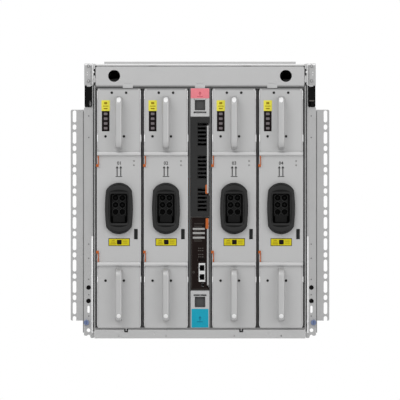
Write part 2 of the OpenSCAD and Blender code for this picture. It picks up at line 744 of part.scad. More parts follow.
module vent_lever() {
    mod_lever(vent_z1 - 20, -1, vent_z1 - 20 - vent_tab_z);
}

module mgmt_module() {
    tub(module_w - 0.6, mgmt_z0, mgmt_z1, mgmt_d, 1);
}

// Black face plate with ports and a lever channel, framed by a thin raised edge
module mgmt_face() {
    w = module_w - 0.8;
    difference() {
        union() {
            plate_y(face_y, 3) translate([0, (mgmt_z0 + mgmt_z1) / 2]) rrect(w, mgmt_z1 - mgmt_z0, 1);
            block([-w / 2 + 1.2, face_y + 2.9, mgmt_z0 + 1.2], [w / 2 - 1.2, face_y + 16, mgmt_z1 - 1.2]);
        }
        plate_y(face_y - 1, 1.6) translate([-0.4, (mgmt_z0 + mgmt_z1) / 2])
            square([w - 2.4, mgmt_z1 - mgmt_z0 - 3], center = true);
        block([-3, face_y - 1, 117.6], [11, face_y + 20, 157.4]);
        plate_y(face_y - 1, 9) translate([5.8, 111]) rrect(4.6, 8.6, 0.8);
        plate_y(face_y - 1, 9) translate([4, 164]) rrect(14, 6, 1);
        block([module_w / 2 - 1.2 - mod_lever_t - 0.8, face_y - 1, mgmt_z0 + 5], [w / 2 + 1, face_y + 12, mgmt_z1 - 1]);
        block([-w / 2 + 4, face_y + 5, mgmt_z0 + 4], [-5, face_y + 20, mgmt_z1 - 4]);
    }
    for (z = [209.8, 219, 228.7]) plate_y(face_y, 3) translate([-2.8, z]) square([25.6, 4], center = true);
    translate([module_w / 2 - 1.2 - mod_lever_t - 0.8 - eps, face_y + 6, mgmt_z0 + 12])
        rotate([0, 90, 0]) cylinder(r = 2, h = mod_lever_t + 0.6);
}

// Metal shell with two stacked network sockets
module mgmt_jacks() {
    difference() {
        block([-2.7, face_y - 0.6, 118], [10.8, face_y + 19, 157]);
        for (z = [128, 147]) {
            translate([4.4, face_y + 6, z]) cube([10, 16, 12], center = true);
            translate([-1, face_y + 6, z]) cube([3, 16, 4], center = true);
        }
    }
}

module mgmt_lever() {
    mod_lever(mgmt_z0 + 12, 1, mgmt_z1 - 3 - mgmt_z0 - 12);
}

// Captive thumbscrew in the foot of the right-hand ear
module knob() {
    translate([hole_line / 2 + 4.4, ear_y, knob_z]) rotate([90, 0, 0]) {
        translate([0, 0, -ear_t - 3]) cylinder(r = 3, h = ear_t + 3 + 0.4);
        translate([0, 0, -ear_t - 1.5]) cylinder(r = 3.6, h = 1.2);
        difference() {
            translate([0, 0, 0.4]) cylinder(r1 = 6, r2 = 5.2, h = 8);
            for (a = [0:30:330]) rotate(a) translate([6.4, 0, 0]) cylinder(r = 0.9, h = 12, $fn = 16);
            translate([0, 0, 7]) cube([1, 7, 4], center = true);
        }
    }
}

// ---- Power station ----

// Sheet case, its wider middle bezel, the pivots of both levers and the vented back
module station_case() {
    w = case_w;
    difference() {
        union() {
            block([-w / 2, 0, st_z0], [w / 2, station_d, st_z1]);
            plate_y(0, bezel_d) translate([0, (bezel_lo + bezel_hi) / 2])
                rrect(station_w, bezel_hi - bezel_lo, 1.2);
        }
        block([-w / 2 + case_t, case_t, st_z0 + case_t], [w / 2 - case_t, station_d - case_t, st_z1 - case_t]);
        plate_y(-1, case_t + 2) translate([0, inlet_z]) rrect(recess_w + 2 * sleeve_t + 0.6, recess_h + 2 * sleeve_t + 0.6, 3);
        plate_y(-1, case_t + 2) translate([35.4, inlet_z - 53.5]) rrect(7.8, 21.7, 0.8);
        for (k = [-9:1:9]) {
            if (abs(k) > 3) translate([0, station_d, (st_z0 + st_z1) / 2 + k * 22])
                plate_y(-case_t - 1, case_t + 2) rrect(60, 6, 2.9);
        }
        for (s = [-1, 1]) translate([0, station_d, bar_z(s)])
            plate_y(-case_t - 1, case_t + 2) rrect(14, bar_h, 2);
        for (s = [-1, 1]) plate_y(-1, 1.7) intersection() {
            translate([0, s > 0 ? st_z1 - upper_panel_h - 11 : lip_lo + 11]) circle(13.2);
            translate([0, s > 0 ? st_z1 - upper_panel_h + 2 : lip_lo - 2]) square([16, 4.6], center = true);
        }
    }
    for (z = [st_z0 + pivot_end, st_z1 - pivot_end]) both_sides()
        translate([w / 2 - eps, pivot_back, z]) rotate([0, 90, 0]) cylinder(r = pivot_r, h = bezel_out);
    // lugs and pins of the two orange latches
    for (z = [bezel_hi - latch_l + 2, bezel_lo + latch_l - 2]) {
        block([-w / 2 + latch_w - 1.2, -latch_t, z - 2.4], [-w / 2 + latch_w + 0.4, eps, z + 2.4]);
        translate([-w / 2 - 1, -latch_t / 2 - 0.2, z]) rotate([0, 90, 0]) cylinder(r = latch_pin_r, h = latch_w);
    }
}

// Round-ended bar bent down at both ends to the panel
module grip(z0) {
    run = grip_len - grip_t - 2 * grip_bend;
    out = grip_reach - grip_t / 2;
    post = out - grip_bend;
    translate([0, 0, z0 + grip_len / 2]) {
        translate([0, -out, -run / 2]) linear_extrude(run) grip_section();
        for (s = [-1, 1]) translate([0, -post, s * run / 2]) mirror([0, 0, s > 0 ? 0 : 1]) {
            rotate([0, -90, 180]) rotate([0, 0, 0]) rotate_extrude(angle = 90) translate([grip_bend, 0]) rotate(90) grip_section();
            translate([0, 0, grip_bend]) rotate([-90, 0, 0]) linear_extrude(post) grip_section();
        }
    }
}

module grip_section() {
    r = grip_t / 2 - 0.5;
    square([grip_w - 2 * r, grip_t], center = true);
    square([grip_w, grip_t - 2 * r], center = true);
    for (sx = [-1, 1], sy = [-1, 1]) translate([sx * (grip_w / 2 - r), sy * (grip_t / 2 - r)]) circle(r);
}

module station_grips() {
    grip(st_z0 + grip_low);
    grip(st_z1 - grip_top - grip_len);
}

// Domed outline of the inlet, k smaller all round
module inlet_outline(k) {
    hw = inlet_w / 2 - k;
    hh = inlet_h / 2 - k;
    shoulder = inlet_h * 0.355 - k * 0.7;
    side = hw * 0.915;
    dome_r = (side * side + (hh - shoulder) * (hh - shoulder)) / (2 * (hh - shoulder));
    sag = hw - side;
    side_r = (shoulder * shoulder + sag * sag) / (2 * sag);
    intersection() {
        union() {
            square([2 * hw + 2, 2 * shoulder], center = true);
            for (s = [-1, 1]) translate([0, s * (hh - dome_r)]) circle(dome_r, $fn = 96);
        }
        translate([side_r - hw, 0]) circle(side_r, $fn = 360);
        translate([hw - side_r, 0]) circle(side_r, $fn = 360);
    }
}

// Moulded inlet: domed flange in steps, plug recess, sleeve and contact block with six cavities
module station_inlet() {
    back = recess_d - inlet_reach;
    rim = 3;
    translate([0, 0, inlet_z]) {
        difference() {
            union() {
                plate_y(-inlet_reach + rim, inlet_reach - rim) inlet_outline(0);
                plate_y(-inlet_reach, rim + eps) inlet_outline(3.2);
                plate_y(-eps, back + sleeve_t) rrect(recess_w + 2 * sleeve_t, recess_h + 2 * sleeve_t, 3);
            }
            plate_y(-inlet_reach - 1, recess_d + 1) rrect(recess_w, recess_h, 3);
            plate_y(-inlet_reach - 1, 5) rrect(recess_w + 7, recess_h + 8, 4);
            for (s = [-1, 1]) translate([s * (inlet_w / 2 + 0.3), -inlet_reach / 2, -16]) cube([3, inlet_reach + 2, 9], center = true);
        }
        difference() {
            plate_y(back - contact_h, contact_h + eps) union() {
                translate([0, 6.5]) rrect(recess_w - 6, 3 * cavity_pz + 1, 2);
                translate([0, -22.5]) rrect(recess_w - 12, 13, 1.5);
            }
            for (sx = [-1, 1], k = [-1:1:1]) translate([sx * cavity_px / 2, back - contact_h - 1, 7.5 + k * cavity_pz])
                rotate([-90, 0, 0]) cylinder(d = cavity_d, h = contact_h - 1);
        }
        for (sx = [-1, 1], k = [0:1]) translate([sx * cavity_px / 2, back - 0.5, 7.5 + k * cavity_pz])
            rotate([90, 0, 0]) cylinder(d = 4.5, h = contact_h - 6);
    }
}

// Lever bail: two arms on their pivots and the bright lip between them; dir is 1 with the pivot on top
module station_lever(pivot_z, lip_z, dir) {
    len = dir > 0 ? pivot_z - lip_z : lip_z + lip_h - pivot_z;
    translate([0, pivot_back, pivot_z]) mirror([0, 0, dir > 0 ? 1 : 0]) difference() {
        union() {
            both_sides() plate_x(arm_x, arm_t) {
                intersection() {
                    circle(pivot_end - 0.25);
                    translate([-9, -20]) square([30, 40]);
                }
                polygon([[-9, 0], [7, 0], [arm_d - 14, 40], [arm_d - 16, len],
                         [-lip_reach - pivot_back, len], [-lip_reach - pivot_back, len - lip_h],
                         [-1 - pivot_back, len - lip_h - 6]]);
            }
            plate_x(-arm_x - eps, 2 * arm_x + 2 * eps) translate([-pivot_back, len - lip_h]) polygon([
                [-lip_reach, 0], [-0.4, 0], [-0.4, lip_h], [-lip_reach, lip_h],
                [-lip_reach - 1, lip_h * 0.7], [-lip_reach - 1, lip_h * 0.3]]);
        }
        both_sides() translate([case_w / 2 - 1, 0, 0])
            rotate([0, 90, 0]) cylinder(r = pivot_r + pivot_clear, h = arm_t + 4);
    }
}

// Orange latch beside the lip: a hooked tab on a small pin; dir points from the pin to the lip
module station_latch(pin_z, dir) {
    x0 = -case_w / 2 - 1.4;
    tip = latch_l - 2.4;
    translate([0, 0, pin_z]) mirror([0, 0, dir > 0 ? 0 : 1]) difference() {
        union() {
            plate_x(x0 + latch_w - 1.7, 1.7) polygon([
                [-latch_t, -1.2], [-latch_t + 0.8, -2.2], [-1.2, -2.2], [-0.4, -1.2], [-0.4, tip],
                [-latch_t - 1.4, tip], [-latch_t - 1.4, tip - 3], [-latch_t, tip - 5]]);
            plate_x(x0 - 2.2, latch_w + 2) polygon([
                [-latch_t, -1.2], [-latch_t + 0.8, -2.2], [-1.2, -2.2], [-0.4, -1.2], [-0.4, 3.4], [-latch_t, 3.4]]);
            plate_x(x0 + 1, latch_w - 1) polygon([[-latch_t, tip - 5], [-latch_t - 1.4, tip - 3],
                [-latch_t - 1.4, tip], [-0.4, tip], [-0.4, tip - 5]]);
        }
        translate([x0 - 3, -latch_t / 2 - 0.2, 0]) rotate([0, 90, 0])
            cylinder(r = latch_pin_r + pivot_clear, h = latch_w + 4);
    }
}

module station(n, part) {
    translate([station_x[n - 1], face_y, 0]) {
        if (part == "case") color(steel) station_case();
        if (part == "grips") color(bright) station_grips();
        if (part == "inlet") color(plastic_dark) station_inlet();
        if (part == "lever_upper") color(bright) station_lever(st_z1 - pivot_end, lip_hi, 1);
        if (part == "lever_lower") color(bright) station_lever(st_z0 + pivot_end, lip_lo, -1);
        if (part == "latch_upper") color(orange) station_latch(bezel_hi - latch_l + 2, 1);
        if (part == "latch_lower") color(orange) station_latch(bezel_lo + latch_l - 2, -1);
    }
}

color(steel) mirror([1, 0, 0]) side_wall();  // side_left
color(steel) side_wall();  // side_right
color(steel) floor_pan();
color(bright) top_cover();
color(steel) top_fascia();
color(steel) bottom_sill();
color(seam_grey) rear_guides();
color(seam_grey) center_column();
color(steel) bay_dividers();
color(steel) front_rails();
color(steel) bulkhead();
color(copper) bus_bars();
color(cyan) supply_manifold();
color(pink) return_manifold();
color(bright) couplings();
color(steel) mirror([1, 0, 0]) ear();  // ear_left
color(steel) ear();  // ear_right
color(steel) mirror([1, 0, 0]) flange();  // flange_left
color(steel) flange();  // flange_right
color(black) black_trim();
color(steel) hot_block();
color(steel) cold_block();
color(steel) vent_module();
color(plastic_dark) vent_face();
color(bright) vent_lever();
color(steel) mgmt_module();
color(black) mgmt_face();
color(bright) mgmt_jacks();
color(bright) mgmt_lever();
color(blue) mirror([1, 0, 0]) knob();  // knob_left
color(blue) knob();  // knob_right
for (n = [1:4]) for (part = ["case", "grips", "inlet", "lever_upper", "lever_lower", "latch_upper", "latch_lower"]) {
    station(n, part);
}
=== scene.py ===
import json
import math
import bpy
import numpy as np
from mathutils.bvhtree import BVHTree
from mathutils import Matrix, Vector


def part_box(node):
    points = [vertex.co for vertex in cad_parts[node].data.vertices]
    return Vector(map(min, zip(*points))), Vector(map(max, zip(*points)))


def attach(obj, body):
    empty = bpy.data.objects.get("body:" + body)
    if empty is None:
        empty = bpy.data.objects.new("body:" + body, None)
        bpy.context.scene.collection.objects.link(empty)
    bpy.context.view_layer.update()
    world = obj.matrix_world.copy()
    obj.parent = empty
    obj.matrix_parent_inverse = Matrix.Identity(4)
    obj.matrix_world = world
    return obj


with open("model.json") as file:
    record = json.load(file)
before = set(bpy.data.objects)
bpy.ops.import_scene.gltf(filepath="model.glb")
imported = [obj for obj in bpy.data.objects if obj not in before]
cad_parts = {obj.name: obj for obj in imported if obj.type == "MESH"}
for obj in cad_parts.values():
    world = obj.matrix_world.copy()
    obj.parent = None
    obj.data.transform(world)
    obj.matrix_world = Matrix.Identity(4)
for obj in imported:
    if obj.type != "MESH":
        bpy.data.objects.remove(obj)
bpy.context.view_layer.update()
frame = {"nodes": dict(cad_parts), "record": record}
nodes = frame["nodes"]
print("frame loaded:", len(nodes), "nodes")

mm = 0.001
stations = [1, 2, 3, 4]


def spot(node):
    # lowest and highest corner of a node, in millimetres
    low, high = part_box(node)
    return np.array(low) / mm, np.array(high) / mm


faceY = spot("side_right")[0][1]  # plane of the rear face
earY = spot("knob_right")[0][1] + 8.4  # plane of the rear ears, behind the knobs
sideX = spot("side_right")[0][0]
blockY = spot("black_trim")[0][1]  # rear plane of the black corner blocks
stationX = {n: (spot(f"station{n}_case")[0][0] + spot(f"station{n}_case")[1][0]) / 2 for n in stations}


# ---------- shapes ----------

def gridQuads(rows, cols, closed=True):
    # faces between a grid's neighbouring points, joined round along the columns when closed
    r, c = np.meshgrid(np.arange(rows - 1), np.arange(cols if closed else cols - 1), indexing="ij")
    a = r * cols + c
    b = r * cols + (c + 1) % cols
    return np.stack([a, b, b + cols, a + cols], -1).reshape(-1, 4)


def outward(verts, faces):
    # turns a closed skin so that its signed volume, the sum over its corner tetrahedra, is positive
    volume = 0.0
    for size in {len(f) for f in faces}:
        ring = np.array([f for f in faces if len(f) == size])
        for k in range(1, size - 1):
            a, b, c = verts[ring[:, 0]], verts[ring[:, k]], verts[ring[:, k + 1]]
            volume += np.einsum("ij,ij->i", a, np.cross(b, c)).sum()
    return verts, faces if volume > 0 else [f[::-1] for f in faces]


def skin(rings):
    # closed skin through a stack of rings, where rings[i, j] is point j of ring i, capped at both ends
    rows, cols = rings.shape[:2]
    faces = gridQuads(rows, cols).tolist()
    faces += [list(range(cols))[::-1], list(range((rows - 1) * cols, rows * cols))]
    return outward(rings.reshape(-1, 3), faces)


def roundRect(w, h, r, n=5):
    # rectangle's outline with quarter circles at its corners, n+1 points to each
    r = max(min(r, w / 2 - 1e-3, h / 2 - 1e-3), 1e-3)
    turn = np.linspace(0, math.pi / 2, n + 1)
    t = (np.arange(4)[:, None] * math.pi / 2 + turn).ravel()
    sx = np.repeat([1, -1, -1, 1], n + 1)
    sz = np.repeat([1, 1, -1, -1], n + 1)
    return np.stack([sx * (w / 2 - r) + r * np.cos(t), sz * (h / 2 - r) + r * np.sin(t)], -1)


def plate(x, z, w, h, r, yBack, yFront, edge=0.3, n=5):
    # rounded rectangle carried from yBack to yFront, its front edge eased by a quarter round
    steps = [(0, yBack), (0, yFront + edge), (edge * 0.3, yFront + edge * 0.3), (edge, yFront)]
    rings = []
    for inset, y in steps:
        o = roundRect(w - 2 * inset, h - 2 * inset, r - inset, n)
        rings.append(np.stack([x + o[:, 0], np.full(len(o), y), z + o[:, 1]], -1))
    return skin(np.array(rings))


def turned(x, z, profile, n=20):
    # profile of (radius, y) turned about the line along Y through x, z
    t = np.linspace(0, 2 * math.pi, n, endpoint=False)
    p = np.array(profile, float)
    rings = np.stack([x + p[:, :1] * np.cos(t), np.repeat(p[:, 1:], n, 1), z + p[:, :1] * np.sin(t)], -1)
    return skin(rings)


def strip(x0, x1, z0, z1, yBack, yFront, edge=0.2, r=0.4):
    # flat bar between two corners in XZ
    return plate((x0 + x1) / 2, (z0 + z1) / 2, x1 - x0, z1 - z0, r, yBack, yFront, edge, 3)


def mirrored(parts):
    # the parts and their copies across the middle
    return parts + placed(parts, flip=True)


def placed(parts, dx=0.0, dy=0.0, dz=0.0, flip=False):
    # the same parts moved, or mirrored across the middle first
    out = []
    for verts, faces in parts:
        v = verts.copy()
        if flip:
            v[:, 0] *= -1
        out.append(outward(v + np.array([dx, dy, dz]), faces) if flip else (v + np.array([dx, dy, dz]), faces))
    return out


def piece(name, parts, material, body, angle=35):
    # one object from several closed skins, in metres, smooth but for its sharp edges
    verts, faces, start = [], [], 0
    for v, f in parts:
        verts.append(v)
        faces += [[i + start for i in face] for face in f]
        start += len(v)
    mesh = bpy.data.meshes.new(name)
    mesh.from_pydata((np.concatenate(verts) * mm).tolist(), [], faces)
    mesh.polygons.foreach_set("use_smooth", [True] * len(mesh.polygons))
    mesh.set_sharp_from_angle(angle=math.radians(angle))
    mesh.materials.append(material)
    mesh.update()
    obj = bpy.data.objects.new(name, mesh)
    bpy.context.scene.collection.objects.link(obj)
    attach(obj, body)
    return obj


def figure(text, x, z, size, yFront, depth=0.25):
    # a plain number as a flat mesh facing the rear, its middle at x, z
    curve = bpy.data.curves.new("figure", "FONT")
    curve.body = text
    curve.size = size
    curve.extrude = depth / 2
    curve.resolution_u = 3
    curve.offset = size * 0.018  # a bolder stroke
    temp = bpy.data.objects.new("figure", curve)
    bpy.context.scene.collection.objects.link(temp)
    bpy.context.view_layer.update()
    made = bpy.data.meshes.new_from_object(temp.evaluated_get(bpy.context.evaluated_depsgraph_get()))
    v = np.zeros(len(made.vertices) * 3)
    made.vertices.foreach_get("co", v)
    v = v.reshape(-1, 3)
    faces = [list(p.vertices) for p in made.polygons]
    bpy.data.objects.remove(temp)
    bpy.data.meshes.remove(made)
    mid = (v.min(0) + v.max(0)) / 2
    v = v - mid
    return np.stack([x + v[:, 0], yFront + depth / 2 - v[:, 2], z + v[:, 1]], -1), faces


# ---------- materials ----------

def newMaterial(name):
    material = bpy.data.materials.new(name)
    material.use_nodes = True
    tree = material.node_tree
    shader = tree.nodes["Principled BSDF"]
    return material, tree, shader


def linear(v):
    # screen value from 0 to 255 as linear light
    c = v / 255
    return c / 12.92 if c <= 0.04045 else ((c + 0.055) / 1.055) ** 2.4


def tone(r, g=None, b=None):
    g = r if g is None else g
    b = r if b is None else b
    return (linear(r), linear(g), linear(b), 1)


def objectCoords(tree, scale=(1, 1, 1)):
    coords = tree.nodes.new("ShaderNodeTexCoord")
    mapping = tree.nodes.new("ShaderNodeMapping")
    mapping.inputs["Scale"].default_value = scale
    tree.links.new(coords.outputs["Object"], mapping.inputs["Vector"])
    return mapping.outputs["Vector"]


def noise(tree, vector, scale, detail=3, rough=0.5):
    n = tree.nodes.new("ShaderNodeTexNoise")
    n.inputs["Scale"].default_value = scale
    n.inputs["Detail"].default_value = detail
    n.inputs["Roughness"].default_value = rough
    tree.links.new(vector, n.inputs["Vector"])
    return n.outputs["Fac"]


def remap(tree, value, low, high, fromLow=0.3, fromHigh=0.7):
    m = tree.nodes.new("ShaderNodeMapRange")
    m.inputs["From Min"].default_value = fromLow
    m.inputs["From Max"].default_value = fromHigh
    m.inputs["To Min"].default_value = low
    m.inputs["To Max"].default_value = high
    tree.links.new(value, m.inputs["Value"])
    return m.outputs["Result"]


def blendColours(tree, factor, a, b):
    m = tree.nodes.new("ShaderNodeMix")
    m.data_type = "RGBA"
    tree.links.new(factor, m.inputs["Factor"])
    for socket, value in (("A", a), ("B", b)):
        target = [s for s in m.inputs if s.name == socket and s.type == "RGBA"][0]
        if isinstance(value, bpy.types.NodeSocket):
            tree.links.new(value, target)
        else:
            target.default_value = value
    return [s for s in m.outputs if s.type == "RGBA"][0]


def bumpFrom(tree, height, strength, distance, normal=None):
    b = tree.nodes.new("ShaderNodeBump")
    b.inputs["Strength"].default_value = strength
    b.inputs["Distance"].default_value = distance
    tree.links.new(height, b.inputs["Height"])
    if normal is not None:
        tree.links.new(normal, b.inputs["Normal"])
    return b.outputs["Normal"]


def roundedEdges(tree, radius):
    # edge rounding worked out while rendering, and how near an edge each spot is
    bevel = tree.nodes.new("ShaderNodeBevel")
    bevel.samples = 6
    bevel.inputs["Radius"].default_value = radius
    geometry = tree.nodes.new("ShaderNodeNewGeometry")
    dot = tree.nodes.new("ShaderNodeVectorMath")
    dot.operation = "DOT_PRODUCT"
    tree.links.new(bevel.outputs["Normal"], dot.inputs[0])
    tree.links.new(geometry.outputs["Normal"], dot.inputs[1])
    nearEdge = remap(tree, dot.outputs["Value"], 1.0, 0.0, 0.72, 0.995)
    return bevel.outputs["Normal"], nearEdge


def metalSheet(name, colour, edgeWearAndHighlight, rough=0.42, metallic=0.35, grain=(1, 1, 1), spangle=0.03, edge=0.0007,
               streak=0.35):
    # coated sheet: cloudy tone, fine grain in the given direction, edges painted lighter, partly as wear and partly
    # as a painted highlight
    material, tree, shader = newMaterial(name)
    normal, nearEdge = roundedEdges(tree, edge)
    wide = noise(tree, objectCoords(tree), 14, 4, 0.6)
    fine = noise(tree, objectCoords(tree, grain), 900, 2, 0.6)
    dark = tuple(c * (1 - spangle) for c in colour[:3]) + (1,)
    pale = tuple(min(1, c * (1 + spangle)) for c in colour[:3]) + (1,)
    cloudy = blendColours(tree, remap(tree, wide, 0, 1), dark, pale)
    speck = blendColours(tree, remap(tree, fine, 0, streak), cloudy, pale)
    # edges lightened: wear together with a painted edge highlight
    wornAndLitEdges = blendColours(tree, nearEdge, speck, edgeWearAndHighlight)
    tree.links.new(wornAndLitEdges, shader.inputs["Base Color"])
    tree.links.new(remap(tree, fine, rough - 0.05, rough + 0.07), shader.inputs["Roughness"])
    shader.inputs["Metallic"].default_value = metallic
    tree.links.new(bumpFrom(tree, fine, 0.08, 0.0002, normal), shader.inputs["Normal"])
    return material


def moulded(name, colour, rough=0.5, grain=1400, edge=0.0005, lift=0.25, coat=0.0, shine=0.18):
    # moulded plastic: fine spark grain, slight tone changes, edges painted lighter as a highlight
    material, tree, shader = newMaterial(name)
    normal, nearEdge = roundedEdges(tree, edge)
    wide = noise(tree, objectCoords(tree), 30, 3)
    fine = noise(tree, objectCoords(tree), grain, 2, 0.7)
    pale = tuple(min(1, c * (1 + lift) + 0.004) for c in colour[:3]) + (1,)
    toned = blendColours(tree, remap(tree, wide, 0, 0.5), colour, pale)
    # painted highlight: edges lightened toward a paler copy of the colour
    edgeHighlighted = blendColours(tree, nearEdge, toned, tuple(min(1, c * (1 + 2 * lift) + 0.012) for c in colour[:3]) + (1,))
    tree.links.new(edgeHighlighted, shader.inputs["Base Color"])
    tree.links.new(remap(tree, fine, rough - 0.06, rough + 0.08), shader.inputs["Roughness"])
    shader.inputs["Coat Weight"].default_value = coat
    shader.inputs["Specular IOR Level"].default_value = shine
    tree.links.new(bumpFrom(tree, fine, 0.15, 0.00015, normal), shader.inputs["Normal"])
    return material


def printed(name, colour, rough=0.45, shine=0.12):
    # ink or film: even colour with a faint print grain
    material, tree, shader = newMaterial(name)
    fine = noise(tree, objectCoords(tree), 700, 3)
    dark = tuple(c * 0.9 for c in colour[:3]) + (1,)
    tree.links.new(blendColours(tree, remap(tree, fine, 0, 1), dark, colour), shader.inputs["Base Color"])
    tree.links.new(remap(tree, fine, rough - 0.04, rough + 0.06), shader.inputs["Roughness"])
    shader.inputs["Specular IOR Level"].default_value = shine
    return material


def lens(name, colour, glow=0.0):
    # small light window: smooth, lit from behind as strongly as glow, which is 0 unless given
    material, tree, shader = newMaterial(name)
    fine = noise(tree, objectCoords(tree), 400, 2)
    dark = tuple(c * 0.8 for c in colour[:3]) + (1,)
    tree.links.new(blendColours(tree, remap(tree, fine, 0, 1), dark, colour), shader.inputs["Base Color"])
    shader.inputs["Roughness"].default_value = 0.15
    shader.inputs["Specular IOR Level"].default_value = 0.12
    shader.inputs["Emission Color"].default_value = colour
    shader.inputs["Emission Strength"].default_value = glow
    return material


panelSteel = metalSheet("panelSteel", tone(191), tone(225), 0.44, 0.25, (1, 1, 1), 0.02)
earSteel = metalSheet("earSteel", tone(177), tone(210), 0.46, 0.3, (1, 1, 1), 0.05)
innerSteel = metalSheet("innerSteel", tone(165), tone(200), 0.48, 0.4, (1, 1, 1), 0.06)
lipSteel = metalSheet("lipSteel", tone(204), tone(232), 0.34, 0.3, (0.02, 1, 1), 0.02)
# near-white steel: the own colour of pale screws, nuts and dots, and the painted highlights on the lid edge, ears,
# grip ends and lever arms
paleSteelAndHighlight = metalSheet("paleSteelAndHighlight", tone(251), tone(254), 0.4, 0.1, (1, 1, 1), 0.02)
gripSteel = metalSheet("gripSteel", tone(187), tone(226), 0.34, 0.4, (1, 1, 0.03), 0.015, streak=0.12)
leverSteel = metalSheet("leverSteel", tone(170), tone(225), 0.32, 0.7, (1, 1, 0.03), 0.03)
darkSteel = metalSheet("darkSteel", tone(82), tone(140), 0.45, 0.3, (1, 1, 1), 0.05)
jackSteel = metalSheet("jackSteel", tone(205), tone(235), 0.28, 0.8, (1, 0.05, 1), 0.03, 0.0003)
pipeSteel = metalSheet("pipeSteel", tone(175), tone(220), 0.25, 0.85, (1, 0.05, 1), 0.03)
busCopper = metalSheet("busCopper", tone(196, 120, 82), tone(232, 170, 130), 0.3, 0.9, (0.05, 1, 1), 0.06)
inletPlastic = moulded("inletPlastic", tone(40), 0.42, 1500, 0.0006, 0.25)
ventPlastic = moulded("ventPlastic", tone(42), 0.5, 1500, 0.0004, 0.2)
blackPlastic = moulded("blackPlastic", tone(13), 0.5, 1200, 0.0004, 0.2, shine=0.05)
blackFace = moulded("blackFace", tone(26, 17, 15), 0.4, 1800, 0.0003, 0.15, shine=0.06)
contactBlack = moulded("contactBlack", tone(19), 0.5, 1500, 0.0004, 0.2, shine=0.08)
ringPlastic = moulded("ringPlastic", tone(60), 0.45, 1500, 0.0003, 0.2)
portPlastic = moulded("portPlastic", tone(80), 0.5, 1500, 0.0004, 0.15)
orangePlastic = moulded("orangePlastic", tone(190, 98, 44), 0.4, 1200, 0.0003, 0.15)
bluePlastic = moulded("bluePlastic", tone(104, 120, 160), 0.35, 1200, 0.0003, 0.2, 0.6)
yellowFilm = printed("yellowFilm", tone(224, 210, 32))
lemonFilm = printed("lemonFilm", tone(249, 239, 84))
amberInk = printed("amberInk", tone(164, 140, 24))
blackFilm = printed("blackFilm", tone(28, 22, 22), 0.45, 0.06)
greyInk = printed("greyInk", tone(128, 120, 122))
darkInk = printed("darkInk", tone(52))
dimInk = printed("dimInk", tone(92, 88, 84))
pinkFilm = printed("pinkFilm", tone(248, 142, 152), 0.4)
pinkInk = printed("pinkInk", tone(206, 100, 112), 0.4)
cyanFilm = printed("cyanFilm", tone(30, 172, 200), 0.4)
cyanInk = printed("cyanInk", tone(24, 120, 150), 0.4)
screwBlack = moulded("screwBlack", tone(24), 0.3, 600, 0.0002, 0.3)
windowDark = lens("windowDark", tone(34, 36, 36))
lampGrey = lens("lampGrey", tone(160, 160, 158))
# flat dark grey: painted shade in the gaps under the fascia and beside the ears
seamShade = printed("seamShade", tone(58))
bandGrey = printed("bandGrey", tone(172))
# grey for printed lines and figures, and for the painted shade of the ears' edge shadows and dimples
lineGreyAndShade = printed("lineGreyAndShade", tone(124))
barPale = printed("barPale", tone(176, 174, 172))
borderPale = printed("borderPale", tone(186, 200, 206))
# near black for the painted shade of the jack openings
holeShade = printed("holeShade", tone(12), 0.8)

finishOf = {
    "sheet_steel": panelSteel, "bright_steel": lipSteel, "galvanised": earSteel, "dark_sheet": darkSteel,
    "black_plastic": blackPlastic, "dark_plastic": inletPlastic, "black_face": blackFace,
    "orange_plastic": orangePlastic, "blue_plastic": bluePlastic, "grip_metal": gripSteel,
    "jack_metal": jackSteel, "copper": busCopper, "manifold_steel": pipeSteel, "lever_metal": leverSteel,
}
nodeFinish = {f"station{n}_inlet": contactBlack for n in stations}
nodeFinish |= {"vent_face": ventPlastic, "bay_dividers": innerSteel, "bulkhead": innerSteel, "floor_pan": innerSteel}
for entry in frame["record"]["subparts"]:
    name = entry["node"]
    finish = nodeFinish.get(name, finishOf[entry["material_slot"]])
    for holder in nodes[name].material_slots:
        holder.material = finish
print("finishes on every node")


# ---------- power stations ----------

stationMarks = {
    "screws": [(-15, 512.3), (15, 512.3), (-28, 421.3), (10.4, 421.3), (-28, 120.5), (10.3, 120.5)],
    "screwRadius": 2.7,
    "upperLabel": (-27.7, 485.4, 17.6, 22.4),
    "blackLabel": (-27.7, 453.0, 16.0, 42.4),
    "lowerLabel": (0.4, 200.8, 44.6, 16.2),
    "arrows": (0.0, 337.5, 21.0),
    "number": (0.0, 365.6, 9.5),
    "lights": [(31.4, 370.0), (31.4, 361.2)],
    "window": (35.4, 217.5, 7.4, 21.3),
    "upperBars": [(5.2, 6.5, 4.6, 0.6), (-1.0, 11.5, 1.6, 0.3), (-6.2, 8.0, 2.6, 0.3)],
    "blackBlocks": {"first": 6.0, "pitch": 10.0, "size": (7.4, 5.0), "count": 4},
    "lowerBars": [(-12.5, 0.0, 9.5, 1.5), (-12.5, 3.6, 6.5, 1.5), (-12.5, -3.6, 11.5, 1.5),
                  (12.5, 2.0, 9.5, 1.2), (12.5, -2.0, 9.5, 1.2)],
    "lowerBlock": (0.3, 9.8),
    "cavity": {"x": 7.2, "z": 7.5, "pitch": 14.7, "deep": 2.0},
    "cavityRim": [(6.9, 0.1), (6.9, -0.5), (6.6, -0.8), (6.3, -0.5), (6.2, 0.1)],
}
inletSize = {"half": 29.15, "tall": 53.65, "side": 26.7, "shoulder": 38.0, "mouthHalf": 18.15, "mouthTall": 30.9,
             "squareness": 12}


def screwHead(x, z, y, r, n=16):
    # low domed head with a round socket sunk in it
    head = turned(x, z, [(r, y), (r, y - 0.5), (r * 0.85, y - 1.1), (r * 0.55, y - 1.35), (r * 0.45, y - 1.35),
                         (r * 0.42, y - 0.5)], n)
    return [head]


def arrowUp(x, z, h, y):
    # thin shaft with a small pointed head, as one outline carried through its thickness
    w, head = 2.0, 3.1
    outline = np.array([[-w / 2, 0], [w / 2, 0], [w / 2, h - 5], [head, h - 5], [0, h], [-head, h - 5],
                        [-w / 2, h - 5]])
    rings = [np.stack([x + outline[:, 0], np.full(7, d), z + outline[:, 1]], -1) for d in (y, y - 0.2)]
    return skin(np.array(rings))


